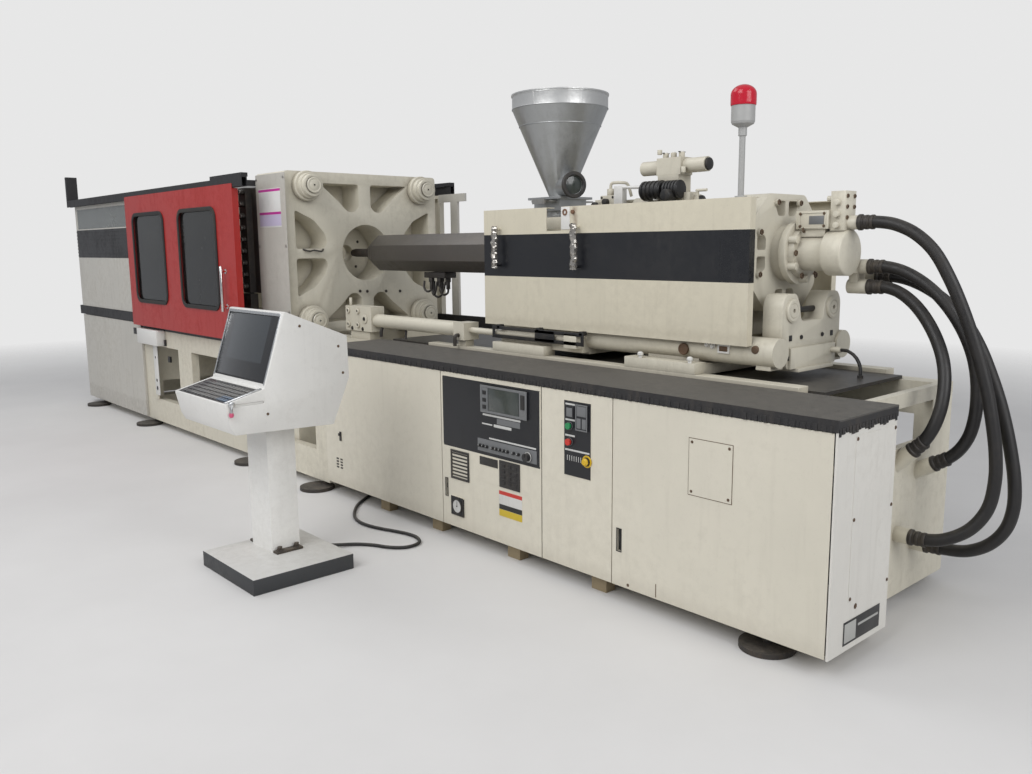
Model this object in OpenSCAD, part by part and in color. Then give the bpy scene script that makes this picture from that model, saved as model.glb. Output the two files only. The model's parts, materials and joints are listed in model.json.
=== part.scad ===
// Hydraulic injection moulding machine. Millimetres, +Z up, +X towards the injection end.
// The operator stands on the -Y side. The origin is on the floor, under the middle of the whole.

/* [Machine] */
// Centre plane of the machine to the front face of the cabinets
half_w = 870; // [860:5:885]
// Clamp unit, from the first cabinet to its far guard
clamp_l = 4781; // [4740:10:4900]
// How far the door rails pass the far guard
rail_over = 90; // [60:5:140]
// How far the sliding doors stand out of the cabinet fronts
guard_proud = 50; // [46:1:60]
// Cabinet fronts to the front edge of the control stand's key tray
stand_reach = 1180; // [1100:10:1260]
// Height of the injection axis
axis_z = 1505; // [1495:5:1515]

/* [Cabinets] */
// Width of the far left cabinet
left_w = 1210; // [1150:10:1300]
// Width of the cabinet with the control plate
control_w = 769; // [740:5:820]
// Width of the panel with the push buttons
operator_w = 442; // [420:2:480]
// Width of the large cabinet at the injection end
main_w = 1028; // [1000:4:1100]
// Underside of the cabinets above the floor
cab_z0 = 75; // [60:5:90]
// Top of the cabinets
cab_z1 = 907; // [890:1:915]
// Sheet thickness of the carcass
cab_wall = 4; // [3:0.5:6]
// Depth of a door pan
door_d = 30; // [24:1:40]
// Sheet thickness of doors and panels
sheet = 3; // [2:0.5:4]
// Gap between neighbouring doors
seam = 5; // [4:0.5:8]
// Thickness of the end panel
end_t = 10; // [8:1:14]
// Thickness of the rubber mat on the cabinets
mat_t = 43; // [30:1:48]
// How far the mat's lip hangs over the front
mat_lip = 4; // [2:1:8]

/* [Bed] */
// Underside of the bed above the floor
bed_z0 = 50; // [40:5:60]
// Top of the ways that carry the platens
way_z = 860; // [840:5:880]
// Top of the bed under the injection unit
inj_z = 930; // [920:5:940]
// How far the clamp bed's sides stay inside the guards
bed_inset = 20; // [18:1:40]
// Thickness of the clamp bed's side frames
side_t = 60; // [50:5:80]
// Top of the bottom sill
sill_z = 250; // [200:10:300]
// Underside of the upper chord
chord_z = 720; // [680:10:760]
// Inner edge of the ways, from the centre plane
way_in = 520; // [480:10:560]
// Width of a way
way_w = 120; // [100:5:140]
// Inner edge of the injection bed's beams
beam_in = 320; // [300:5:330]
// Width of the injection bed's beams
beam_w = 105; // [95:5:108]
// How far the injection bed stops short of the end panel
bed_short = 150; // [120:5:200]
// How far the black top plate stops short of the end panel
plate_short = 345; // [320:5:400]
// Thickness of the black top plate
plate_t = 15; // [10:1:20]
// Inner edge of the guide rails
rail_in = 345; // [340:5:350]
// Width of a guide rail
rail_w = 75; // [65:5:78]
// Height of a guide rail
rail_t = 35; // [25:1:40]
// Radius of a levelling pad
pad_r = 110; // [90:5:140]
// Height of a levelling pad
pad_h = 22; // [16:1:28]

/* [Clamp] */
// Fixed platen's injection side, from the end panel
platen_at = 4270; // [4240:10:4320]
// Thickness of the fixed platen
platen_t = 420; // [400:10:460]
// Half width of the fixed platen
platen_half = 648; // [640:2:655]
// Half height of the fixed platen
platen_up = 572; // [565:1:580]
// Tie bars, from the centre plane
tie_y = 487; // [480:1:495]
// Tie bars, above and below the axis
tie_z = 470; // [465:1:475]
// Tie bar radius
tie_r = 55; // [50:1:58]
// Radius of the round recess for the nozzle
recess_r = 205; // [190:5:215]
// Depth of the round recess
recess_d = 290; // [260:10:310]
// Radius of the bore to the mould
sprue_r = 60; // [50:1:65]
// Radius of the locating bore in a platen's mould face
locating_r = 75; // [70:1:80]
// Depth of the locating bore
locating_d = 30; // [20:1:35]
// Depth of the cast pockets
pocket_d = 230; // [200:10:250]
// Distance between the platens at rest
mould_gap = 700; // [650:10:760]
// Thickness of the moving platen
move_t = 380; // [360:10:400]
// Half width of the moving platen
move_half = 620; // [610:2:640]
// Half height of the moving platen
move_up = 550; // [540:2:560]
// Thickness of the moving platen's front wall
front_wall = 150; // [130:5:160]
// Thickness of the moving platen's back wall
back_wall = 110; // [100:5:120]
// Moving platen's back to the clamp cylinder's plate at rest
cyl_gap = 630; // [600:10:680]
// Thickness of the clamp cylinder's plate
cyl_plate = 350; // [320:10:380]
// Length of the clamp cylinder behind its plate
cyl_l = 1130; // [1090:10:1150]
// Outer radius of the clamp cylinder
cyl_r = 330; // [320:5:345]
// Radius of the clamp ram
ram_r = 230; // [220:5:240]
// Length of the clamp ram
ram_l = 1500; // [1480:10:1520]
// Radius of an ejector rod
eject_r = 16; // [12:1:20]
// Thickness of the ejector plate
eject_t = 30; // [20:1:35]

/* [Doors of the clamp] */
// Left edge of the sliding door, from the end panel
door_from = 6650; // [6620:10:6680]
// Right edge of the sliding door, from the end panel
door_to = 4510; // [4490:10:4530]
// Underside of the sliding door
door_z0 = 892; // [885:1:900]
// Top of the sliding door
door_z1 = 1992; // [1985:1:2000]
// Left rim beside the first window
win_left = 170; // [150:5:190]
// Width of a window
win_w = 680; // [640:10:700]
// Right rim beside the second window
win_right = 300; // [280:5:320]
// Underside of the windows
win_z0 = 1108; // [1095:1:1120]
// Top of the windows
win_z1 = 1835; // [1820:5:1850]
// Right end of the door rails, from the end panel
rail_to = 4360; // [4320:10:4400]
// Height of the upper rail
rail_h = 65; // [60:1:70]
// Top of the upper rail
rail_z1 = 2030; // [2020:1:2036]
// Radius of a door roller
roller_r = 14; // [12:1:16]

/* [Injection unit] */
// Nozzle tip, from the end panel
tip_at = 4470; // [4460:5:4500]
// Front end of the barrel
barrel_at = 4060; // [4040:5:4080]
// Rear end of the barrel
barrel_to = 2000; // [1980:5:2040]
// Barrel radius
barrel_r = 90; // [80:2:95]
// Barrel bore radius
bore_r = 37.5; // [35:0.5:40]
// Half width of the eight-sided shroud over the barrel
shroud_r = 125; // [120:1:135]
// Front face of the barrel housing
house_at = 2400; // [2390:5:2420]
// Rear face of the barrel housing
house_to = 1950; // [1940:5:1960]
// Half width of the barrel housing
house_half = 190; // [180:5:195]
// Housing below the axis
house_down = 215; // [210:5:220]
// Housing above the axis
house_up = 195; // [185:5:200]
// Feed throat and hopper axis, from the end panel
throat_at = 2220; // [2210:5:2230]
// Throat radius
throat_r = 40; // [35:1:45]
// Radius of the carriage's base tubes
tube_r = 65; // [60:1:68]
// Base tubes, from the centre plane
tube_y = 270; // [265:1:275]
// Height of the base tubes' axis
tube_z = 1077; // [1075:1:1080]
// Front end of the base tubes
tube_at = 1700; // [1690:5:1720]
// Rear end of the base tubes
tube_to = 600; // [590:5:605]
// Height of a slide shoe
shoe_h = 50; // [44:1:52]
// Injection cylinder's front end
inj_at = 1560; // [1550:5:1570]
// Injection cylinder's outer radius
inj_r = 170; // [160:5:175]
// Injection cylinder's bore radius
inj_bore = 120; // [110:5:125]
// Front face of the cast end block
block_at = 910; // [905:1:915]
// Rear face of the cast end block
block_to = 760; // [750:5:765]
// Half width of the cast end block
block_half = 262; // [255:1:265]
// Radius of the piston rod
piston_rod = 45; // [40:1:48]
// Radius of the drive shaft
shaft_r = 24; // [20:1:26]
// Rear face of the round flange
flange_to = 680; // [675:5:690]
// Radius of the round flange
flange_r = 142; // [135:1:146]
// Rear end of the motor's waist
waist_to = 535; // [530:5:545]
// Radius of the motor's waist
waist_r = 80; // [74:1:84]
// Rear end of the motor's drum
drum_to = 450; // [440:5:455]
// Radius of the motor's drum
drum_r = 100; // [96:1:104]

/* [Unit cover] */
// Front end of the cover
cover_at = 2460; // [2450:5:2470]
// Rear end of the cover
cover_to = 707; // [700:1:715]
// Cover panels, from the centre plane
cover_half = 370; // [365:1:380]
// Underside of the cover
cover_z0 = 1107; // [1100:1:1115]
// Top of the cover
cover_z1 = 1744; // [1735:1:1755]
// Width of the cover's top return
cover_lip = 60; // [50:5:70]
// Height of the beacon's lens base above the cover
beacon_h = 381; // [360:1:400]

/* [Hopper] */
// Radius of the hopper's rim
hopper_r = 270; // [255:5:285]
// Top of the hopper
hopper_z1 = 2380; // [2350:5:2400]
// Height of the hopper's straight band
band_h = 80; // [70:5:95]
// Lower end of the cone
cone_z = 1815; // [1810:1:1825]
// Radius of the cone's lower end
cone_r = 60; // [50:5:70]
// Wall of the hopper
hopper_t = 3; // [2:0.5:4]

/* [Control stand] */
// Stand's column, from the end panel
stand_at = 2535; // [2500:5:2600]
// Width of the console
console_w = 560; // [520:5:600]
// Width of the floor plate
base_w = 550; // [500:5:600]
// Depth of the floor plate
base_d = 520; // [480:5:560]
// Thickness of the floor plate
base_t = 75; // [60:1:80]
// Width of the column
column_w = 210; // [180:5:240]
// Depth of the column
column_d = 150; // [130:5:170]

/* [Clearances] */
// Radial clearance of a shaft in its bore
run = 0.06; // [0.03:0.01:0.09]
// Gap between pieces that seat or slide on each other
gap = 0.3; // [0.2:0.05:0.4]

/* [Hidden] */
$fn = 48;

// Overall places
inj_l = left_w + control_w + operator_w + main_w;
x_end = (inj_l + clamp_l + rail_over) / 2;
x_split = x_end - inj_l;
x_guard = x_split - clamp_l;
y_c = (stand_reach - guard_proud) / 2;
y_f = y_c - half_w;
bed_half = half_w - bed_inset;
cab_d = half_w - beam_in - beam_w - 5;
y_tray = y_f - stand_reach;
x_doors = [x_split, x_split + left_w, x_split + left_w + control_w, x_end - main_w];

// Clamp places
x_plat = x_end - platen_at;
x_mould = x_plat - platen_t;
x_move = x_mould - mould_gap;
x_back = x_move - move_t;
x_cyl = x_back - cyl_gap;
x_cyl1 = x_cyl - cyl_plate;
x_cyl2 = x_cyl1 - cyl_l;
tie_clear = 0.08;
bolt_r = 10;
bolt_d = 45;
bolt_in = [560, 420];
bolt_out = [700, 700];
eject_at = [[0, 0], [-200, 0], [200, 0], [0, -150], [0, 150]];

// Carriage places
slide_z = inj_z + rail_t + gap;
shoe_z = slide_z + shoe_h;
cover_t = 4;
piston_at = 1440;
piston_t = 100;
rod_at = 1860;
hollow_d = 460;
shaft_at = 1400;
gate_z = cone_z - 26;
gate_t = 8;

// Colours
cream = [0.86, 0.84, 0.76];
white = [0.90, 0.89, 0.86];
black = [0.09, 0.09, 0.10];
dark = [0.20, 0.20, 0.22];
grey = [0.55, 0.55, 0.56];
steel = [0.66, 0.67, 0.69];
red = [0.62, 0.07, 0.06];

// A box between two corners
module block(x0, x1, y0, y1, z0, z1) translate([x0, y0, z0]) cube([x1 - x0, y1 - y0, z1 - z0]);

// A box and its mirror image across the centre plane
module twin(x0, x1, y0, y1, z0, z1) {
    block(x0, x1, y0, y1, z0, z1);
    block(x0, x1, -y1, -y0, z0, z1);
}

// Round bars along X, Y and Z
module bar_x(x0, x1, y, z, r) translate([x0, y, z]) rotate([0, 90, 0]) cylinder(h = x1 - x0, r = r);
module bar_y(y0, y1, x, z, r) translate([x, y0, z]) rotate([-90, 0, 0]) cylinder(h = y1 - y0, r = r);
module bar_z(z0, z1, x, y, r) translate([x, y, z0]) cylinder(h = z1 - z0, r = r);

// A flat outline extruded along X (outline in Y and Z) or along Y (outline in X and Z)
module along_x(x0, x1) translate([x0, 0, 0]) rotate([90, 0, 90]) linear_extrude(x1 - x0) children();
module along_y(y0, y1) translate([0, y1, 0]) rotate([90, 0, 0]) linear_extrude(y1 - y0) children();

module on_plane() translate([0, y_c, 0]) children();
module on_axis() translate([0, y_c, axis_z]) children();

function unit(v) = v / norm(v);
// Corner points of an outline, each corner rounded by r with n steps
function soft(p, r, n = 4) = [for (i = [0 : len(p) - 1])
    let (b = p[i], a = b + r * unit(p[(i + len(p) - 1) % len(p)] - b),
         c = b + r * unit(p[(i + 1) % len(p)] - b))
    for (k = [0 : n]) let (t = k / n) (1 - t) * (1 - t) * a + 2 * t * (1 - t) * b + t * t * c];
function rect(x0, x1, y0, y1) = [[x0, y0], [x1, y0], [x1, y1], [x0, y1]];

// Bed: side frames and ways under the clamp, two box beams under the injection unit
bed_x0 = x_guard + 80;
bed_x1 = x_split - 20;
inj_x0 = x_plat + 12;
inj_x1 = x_end - bed_short;
beam_out = beam_in + beam_w;
// Hose ports of the bed: place across, height, end past the end panel, and slope
hose_ports = [[-70, 698, -98, 45], [112, 614, -84, 30], [-60, 330, -90, 0], [100, 258, -90, 0]];
port_r = 34;
port_seat = 28;
gland_at = 3250;
gland_z = 62;

module bed_frame() color(cream) on_plane() {
    in = bed_half - side_t;
    twin(bed_x0, bed_x1, in, bed_half, bed_z0, sill_z);
    twin(bed_x0, bed_x1, in, bed_half, chord_z, way_z);
    for (c = [[bed_x0, 200], [x_cyl1, cyl_plate], [x_back - 80, 270], [x_mould, platen_t], [bed_x1 - 150, 150]])
        twin(c[0], c[0] + c[1], in, bed_half, sill_z, chord_z);
    twin(bed_x0, x_plat, way_in, way_in + way_w, way_z - 160, way_z);
    for (c = [[bed_x0, 150], [x_cyl1, cyl_plate], [x_mould, platen_t - 120]])
        block(c[0], c[0] + c[1], -in, in, sill_z + 150, way_z - 160);
    for (x = [bed_x0, x_cyl1 + 80, x_mould, x_mould + 600, bed_x1 - 150])
        block(x, x + 150, -in, in, bed_z0, sill_z);
    for (x = [x_mould + 600, bed_x1 - 150]) twin(x, x + 150, beam_in, in + 10, sill_z, chord_z + 10);
    block(x_end - 6600, x_end - 6230, -bed_half - 14, -bed_half, chord_z, way_z - 6);
    block(x_end - 6430, x_end - 6330, -bed_half - 12, -bed_half, sill_z - 1, chord_z + 1);
    twin(inj_x0, inj_x1, beam_in, beam_out, bed_z0, sill_z);
    twin(inj_x0, inj_x1, beam_in, beam_out, inj_z - 150, inj_z);
    for (i = [0 : 5]) let (x = inj_x0 + i * (inj_x1 - inj_x0 - 120) / 5)
        twin(x, x + 120, beam_in, beam_out, sill_z, inj_z - 150);
    for (x = [x_end - 3250, x_end - 2000, x_end - 1850, x_end - 800])
        block(x, x + 120, -beam_in, beam_in, bed_z0, sill_z);
    difference() {
        block(inj_x1 - 40, inj_x1, -beam_out, beam_out, bed_z0, inj_z);
        block(inj_x1 - 41, inj_x1 + 1, -beam_in + 40, beam_in - 90, inj_z - 230, inj_z - 60);
    }
    for (x = [x_doors[0] + 300, x_doors[2], x_doors[3] + 500])
        block(x, x + 80, -half_w + cab_d, -beam_out + 1, inj_z - 140, inj_z - 60);
    for (p = hose_ports) translate([x_end + p[2], p[0], p[1]]) rotate([0, -90 - p[3], 0])
        cylinder(h = (x_end + p[2] - inj_x1 + port_seat) / cos(p[3]), r = port_r);
    bar_y(-beam_out - 30, -beam_out + 1, x_end - gland_at, gland_z, 11);
}

module bed_plate() color(black) on_plane() {
    block(x_split + 4, x_end - plate_short, -rail_in, rail_in, inj_z, inj_z + plate_t);
    bar_z(inj_z + plate_t - 1, inj_z + plate_t + 12, x_end - 440, 134, 13);
}

module guide_rails() color(cream) on_plane()
    twin(x_end - 2950, x_end - 420, rail_in, rail_in + rail_w, inj_z, inj_z + rail_t);

// Hinges of the front doors: a fixed arm with a pin, and a knuckle on the door
hinge_in = 8;
pin_r = 4;
pin_h = 40;
hinge_z = [cab_z0 + 80, cab_z1 - 160];
main_right = x_end - end_t - seam / 2;
function hinge_x(right) = right - seam / 2 - hinge_in;
carcass_y = y_f + door_d + 2;

module hinge_arms(right, wall) for (z = hinge_z) {
    block(hinge_x(right) - 4, hinge_x(right) + 1, y_f + hinge_in, carcass_y + 8, z, z + 6);
    block(hinge_x(right) - 4, wall - gap, carcass_y + 1, carcass_y + 8, z, z + 6);
    bar_z(z, z + 6, hinge_x(right), y_f + hinge_in, pin_r + 0.5);
    bar_z(z, z + 6 + pin_h, hinge_x(right), y_f + hinge_in, pin_r);
}

// A door pan with returns on three sides and knuckles at its right edge
module door_pan(left, right) {
    x0 = left + seam / 2;
    x1 = right - seam / 2;
    z0 = cab_z0 + 3;
    z1 = cab_z1 - 4;
    difference() {
        union() {
            block(x0, x1, y_f, y_f + sheet, z0, z1);
            block(x0, x0 + sheet, y_f, y_f + door_d, z0, z1);
            for (z = [z0, z1 - sheet]) block(x0, x1 - hinge_in - 40, y_f, y_f + door_d, z, z + sheet);
            for (z = hinge_z) bar_z(z + 6 + gap, z + pin_h, hinge_x(right), y_f + hinge_in, 7);
        }
        for (z = hinge_z) bar_z(z, z + pin_h + 20, hinge_x(right), y_f + hinge_in, pin_r + run);
    }
}

// A finger slot in a door: an opening with a closed cup behind it
module slot_cut(x, z, w, h) block(x - w / 2, x + w / 2, y_f - 1, y_f + 20, z - h / 2, z + h / 2);
module slot_cup(x, z, w, h) difference() {
    block(x - w / 2 - 3, x + w / 2 + 3, y_f, y_f + 22, z - h / 2 - 3, z + h / 2 + 3);
    slot_cut(x, z, w, h);
}

module cabinet_carcass() color(white) {
    x1 = x_end - end_t;
    y1 = y_f + cab_d;
    walls = [x_split, x_doors[1] - cab_wall, x_doors[2] - cab_wall, x_doors[3] - cab_wall, x1 - cab_wall];
    for (z = [cab_z0, cab_z1 - cab_wall]) block(x_split, x1, carcass_y, y1, z, z + cab_wall);
    block(x_split, x1, y1 - cab_wall, y1, cab_z0 + cab_wall + gap, cab_z1 - cab_wall - gap);
    for (x = walls) block(x, x + cab_wall, carcass_y, y1 - cab_wall - gap, cab_z0 + cab_wall + gap,
        cab_z1 - cab_wall - gap);
    for (r = [x_doors[1], x_doors[2]]) hinge_arms(r, r - cab_wall);
    hinge_arms(main_right, x1 - cab_wall);
}

module end_panel() color(white) {
    x0 = x_end - end_t;
    difference() {
        block(x0, x_end - 2, y_f, y_f + cab_d, cab_z0, cab_z1);
        block(x0 - 1, x0 + end_t - 5, y_f + 12, y_f + cab_d - 12, cab_z0 + 12, cab_z1 - 12);
    }
    block(x_end - 3, x_end, y_f + 129, y_f + cab_d - 6, 262, 876);
    block(x_end - 3, x_end - 1, y_f + 103, y_f + 380, 100, 190);
}

module top_mat() color(black)
    block(x_split, x_end, y_f - mat_lip, y_f + cab_d + 3, cab_z1, cab_z1 + mat_t);

// Push-button panel, fixed between the control door and the large door
plate_x = [x_end - 1318, x_end - 1153];
plate_z = [518, 862];
button_r = 10;
cap_r = 15;
start_at = [x_end - 1280, 748];
stop_at = [x_end - 1280, 675];
module operator_panel() color(white) {
    x0 = x_doors[2] + seam / 2;
    x1 = x_doors[3] - seam / 2;
    difference() {
        union() {
            block(x0, x1, y_f, y_f + sheet, cab_z0 + 3, cab_z1 - 4);
            for (x = [x0, x1 - sheet]) block(x, x + sheet, y_f, carcass_y - gap, cab_z0 + 3, cab_z1 - 4);
            block(plate_x[0], plate_x[1], y_f - 3, y_f + 1, plate_z[0], plate_z[1]);
            for (b = [start_at, stop_at]) bar_y(y_f - 6, y_f + 16, b[0], b[1], cap_r + 3);
            block(start_at[0] - 26, start_at[0] + 26, y_f - 8, y_f, 782, 838);
            block(plate_x[1] - 84, plate_x[1] - 14, y_f - 12, y_f, 735, 852);
            bar_y(y_f - 14, y_f, plate_x[1] - 22, 600, 19);
        }
        for (b = [start_at, stop_at]) bar_y(y_f - 30, y_f + 30, b[0], b[1], button_r + run);
    }
}

module push_button(at) {
    bar_y(y_f - 22, y_f - 12, at[0], at[1], cap_r);
    bar_y(y_f - 13, y_f + 20, at[0], at[1], button_r);
}
module start_button() color([0.05, 0.45, 0.18]) push_button(start_at);
module stop_button() color([0.75, 0.08, 0.06]) push_button(stop_at);

module left_door() color(white) door_pan(x_doors[0], x_doors[1]);

knob_at = [x_end - 1556, 556];
module control_door() color(white) {
    x0 = x_doors[1] + seam / 2 + 4;
    x1 = x_doors[2] - seam / 2 - 4;
    difference() {
        union() {
            door_pan(x_doors[1], x_doors[2]);
            block(x0, x1, y_f - 2, y_f + 1, 520, 878);
            block(x_end - 1897, x_end - 1560, y_f - 10, y_f, 732, 868);
            bar_y(y_f - 8, y_f + 14, knob_at[0], knob_at[1], 24);
            block(x_end - 2161, x_end - 2015, y_f - 2, y_f + 1, 346, 492);
            block(x_end - 1922, x_end - 1623, y_f - 2, y_f + 1, 372, 502);
            block(x_end - 2158, x_end - 2056, y_f - 8, y_f, 145, 247);
            slot_cup(x_end - 2202, 283, 20, 96);
        }
        slot_cut(x_end - 2202, 283, 20, 96);
        bar_y(y_f - 20, y_f + 30, knob_at[0], knob_at[1], 6 + run);
    }
}
module selector_knob() color(black) difference() {
    union() {
        bar_y(y_f - 30, y_f - 8 - gap, knob_at[0], knob_at[1], 20);
        bar_y(y_f - 20, y_f + 22, knob_at[0], knob_at[1], 6);
    }
    block(knob_at[0] - 2, knob_at[0] + 2, y_f - 31, y_f - 28, knob_at[1], knob_at[1] + 18);
}

module main_door() color(white) {
    difference() {
        union() {
            door_pan(x_doors[3], main_right);
            block(x_end - 623, x_end - 421, y_f - 2, y_f + 1, 566, 794);
            slot_cup(x_end - 986, 286, 24, 100);
        }
        slot_cut(x_end - 986, 286, 24, 100);
    }
}

// Electrical plates at the back of the cabinets
module switch_gear() color(grey) {
    y1 = y_f + cab_d - cab_wall;
    for (c = [[x_doors[3] + 60, main_w - 140], [x_doors[1] + 60, control_w - 120]]) {
        block(c[0], c[0] + c[1], y1 - 4, y1, 180, 820);
        for (r = [0 : 2]) for (k = [0 : 5])
            block(c[0] + 30 + k * (c[1] - 40) / 6, c[0] + 20 + (k + 0.8) * (c[1] - 40) / 6,
                y1 - 70, y1 - 3, 230 + r * 200, 330 + r * 200);
    }
}

// Fixed platen: a thick casting with eight pockets, a round recess and four tie bar bores
module pocket_pair() {
    outer = platen_half - 70;
    side = soft([[-outer, 34], [-outer, 305], [-430, 235], [-345, 140], [-325, 80], [-350, 34]], 24);
    top = soft([[-50, platen_up - 77], [-375, platen_up - 77], [-215, recess_r + 160], [-150, recess_r + 93],
        [-95, recess_r + 87], [-50, recess_r + 125]], 24);
    for (q = [side, top]) for (sy = [1, -1]) for (sz = [1, -1])
        polygon([for (p = q) [p[0] * sy, p[1] * sz]]);
}
module tie_places() for (sy = [-1, 1]) for (sz = [-1, 1]) translate([0, sy * tie_y, sz * tie_z]) children();
module bolt_holes(x0, x1, half) for (b = half) for (sy = [-1, 1]) for (sz = [-1, 1])
    bar_x(x0, x1, sy * b[0] / 2, sz * b[1] / 2, bolt_r);

module stationary_platen() color(cream) on_axis() {
    foot = axis_z - platen_up - way_z;
    difference() {
        union() {
            along_x(x_mould, x_plat) polygon(soft(rect(-platen_half, platen_half, -platen_up, platen_up), 30, 3));
            for (s = [-1, 1]) block(x_mould, x_plat - 10, s * (way_in + way_w / 2) - 50,
                s * (way_in + way_w / 2) + 50, -platen_up - foot, -platen_up + 1);
        }
        along_x(x_plat - pocket_d, x_plat + 1) pocket_pair();
        bar_x(x_plat - recess_d, x_plat + 1, 0, 0, recess_r);
        bar_x(x_mould - 1, x_plat, 0, 0, sprue_r);
        bar_x(x_mould - 1, x_mould + locating_d, 0, 0, locating_r);
        tie_places() bar_x(x_mould - 1, x_plat + 1, 0, 0, tie_r + gap);
        bolt_holes(x_mould - 1, x_mould + bolt_d, [bolt_in, bolt_out]);
    }
}

nut_t = 120;
module tie_bars() color(steel) on_axis() tie_places() difference() {
    bar_x(x_cyl1 - nut_t - 20, x_plat + nut_t + 12, 0, 0, tie_r);
    bar_x(x_plat + nut_t - 4, x_plat + nut_t + 13, 0, 0, 7);
}
module tie_nut(x0, dir) translate([x0, 0, 0]) scale([dir, 1, 1]) difference() {
    rotate([0, 90, 0]) rotate_extrude() polygon([[tie_r + gap, 0], [102, 0], [104, 4], [104, 46], [100, 50],
        [88, 50], [88, 86], [84, 90], [78, 90], [76, nut_t], [tie_r + gap, nut_t]]);
}
module tie_bar_nuts() color(cream) on_axis() tie_places() {
    tie_nut(x_plat, 1);
    tie_nut(x_cyl1, -1);
}

// Moving platen: front and back walls joined by a rim and ribs, with the ejector between
module moving_platen() color(cream) on_axis() {
    foot = axis_z - move_up - way_z - gap;
    difference() {
        union() {
            along_x(x_back, x_move) polygon(soft(rect(-move_half, move_half, -move_up, move_up), 30, 3));
            for (s = [-1, 1]) block(x_back - 60, x_move - 20, s * (way_in + way_w / 2) - 55,
                s * (way_in + way_w / 2) + 55, -move_up - foot, -move_up + 8);
        }
        block(x_back + back_wall, x_move - front_wall, -330, 330, -move_up - 1, move_up + 1);
        tie_places() bar_x(x_back - 1, x_move + 1, 0, 0, tie_r + tie_clear);
        for (p = eject_at) bar_x(x_back + back_wall - 1, x_move + 1, p[0], p[1], eject_r + run);
        bar_x(x_move - locating_d, x_move + 1, 0, 0, locating_r);
        bolt_holes(x_move - bolt_d, x_move + 1, [bolt_in, bolt_out]);
    }
}

module ejector() color(steel) on_axis() {
    x0 = x_back + back_wall + gap;
    along_x(x0, x0 + eject_t) polygon(soft(rect(-260, 260, -200, 200), 40, 3));
    for (p = eject_at) bar_x(x0, p == eject_at[0] ? x_move - locating_d : x_move, p[0], p[1], eject_r);
}

module clamp_ram() color(steel) on_axis() {
    bar_x(x_back - ram_l, x_back - 40, 0, 0, ram_r);
    bar_x(x_back - 40, x_back, 0, 0, ram_r + 50);
}

module clamp_cylinder() color(cream) on_axis() {
    foot = axis_z - move_up - way_z;
    bore = ram_r + 6;
    difference() {
        union() {
            along_x(x_cyl1, x_cyl) polygon(soft(rect(-move_half, move_half, -move_up, move_up), 30, 3));
            for (s = [-1, 1]) block(x_cyl1, x_cyl - 10, s * (way_in + way_w / 2) - 50,
                s * (way_in + way_w / 2) + 50, -move_up - foot, -move_up + 1);
            bar_x(x_cyl2, x_cyl1 + 1, 0, 0, cyl_r);
        }
        bar_x(x_cyl2 + 120, x_cyl - 150, 0, 0, bore);
        bar_x(x_cyl - 151, x_cyl + 1, 0, 0, ram_r + run);
        tie_places() bar_x(x_cyl1 - 1, x_cyl + 1, 0, 0, tie_r + gap);
    }
    for (a = [0 : 30 : 330]) rotate([a, 0, 0]) bar_x(x_cyl2 - 22, x_cyl2 + 1, 0, cyl_r - 45, 18);
    bar_x(x_cyl2 - 60, x_cyl2 + 1, 0, 0, 60);
}

// Rails: an open channel above, a flat strip below, arms to the platens and a bar across the end
rail_y1 = half_w + guard_proud - 4 - gap;
rail_y0 = half_w + 4;
rail_z0 = rail_z1 - rail_h;
low_z = [905, 990];
module rail_side() {
    slot = 8;
    difference() {
        union() {
            block(-x_end, x_end - rail_to, rail_y0, rail_y1, rail_z0, rail_z1);
            block(-x_end + 60, x_end - rail_to - 60, bed_half + 6, rail_y0 + 1, rail_z1 - 8, rail_z1);
        }
        block(-x_end - 1, x_end - rail_to + 1, rail_y0 + 5, rail_y1 - 5, rail_z0 + 5, rail_z1 - 5);
        block(-x_end - 1, x_end - rail_to + 1, (rail_y0 + rail_y1) / 2 - slot, (rail_y0 + rail_y1) / 2 + slot,
            rail_z0 - 1, rail_z0 + 6);
    }
    block(-x_end + 20, bed_x1 - 300, bed_half, half_w + 5 - gap, low_z[0], low_z[1]);
    block(bed_x0, bed_x1 - 300, bed_half - 10, bed_half + 10, way_z, low_z[0] + 1);
    block(x_end - 4870, x_end - rail_to, rail_y0 - 6, rail_y1, rail_z1 - 1, rail_z1 + 26);
    block(x_mould + 1, x_mould + 33, platen_half, rail_y0 + 1, rail_z1 - 40, rail_z1);
    block(x_cyl - 180, x_cyl - 80, move_half, rail_y0 + 1, rail_z1 - 40, rail_z1);
    block(x_cyl - 180, x_cyl - 80, move_half, move_half + 40, axis_z + move_up - 80, rail_z1);
}
module door_rails() color(dark) on_plane() {
    rail_side();
    mirror([0, 1, 0]) rail_side();
    block(-x_end, -x_end + 80, -rail_y0 - 1, rail_y0 + 1, rail_z1 - 40, rail_z1);
    block(-x_end, -x_end + 40, -rail_y1, -rail_y0 + 60, rail_z1 - 1, rail_z1 + 230);
}

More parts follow.
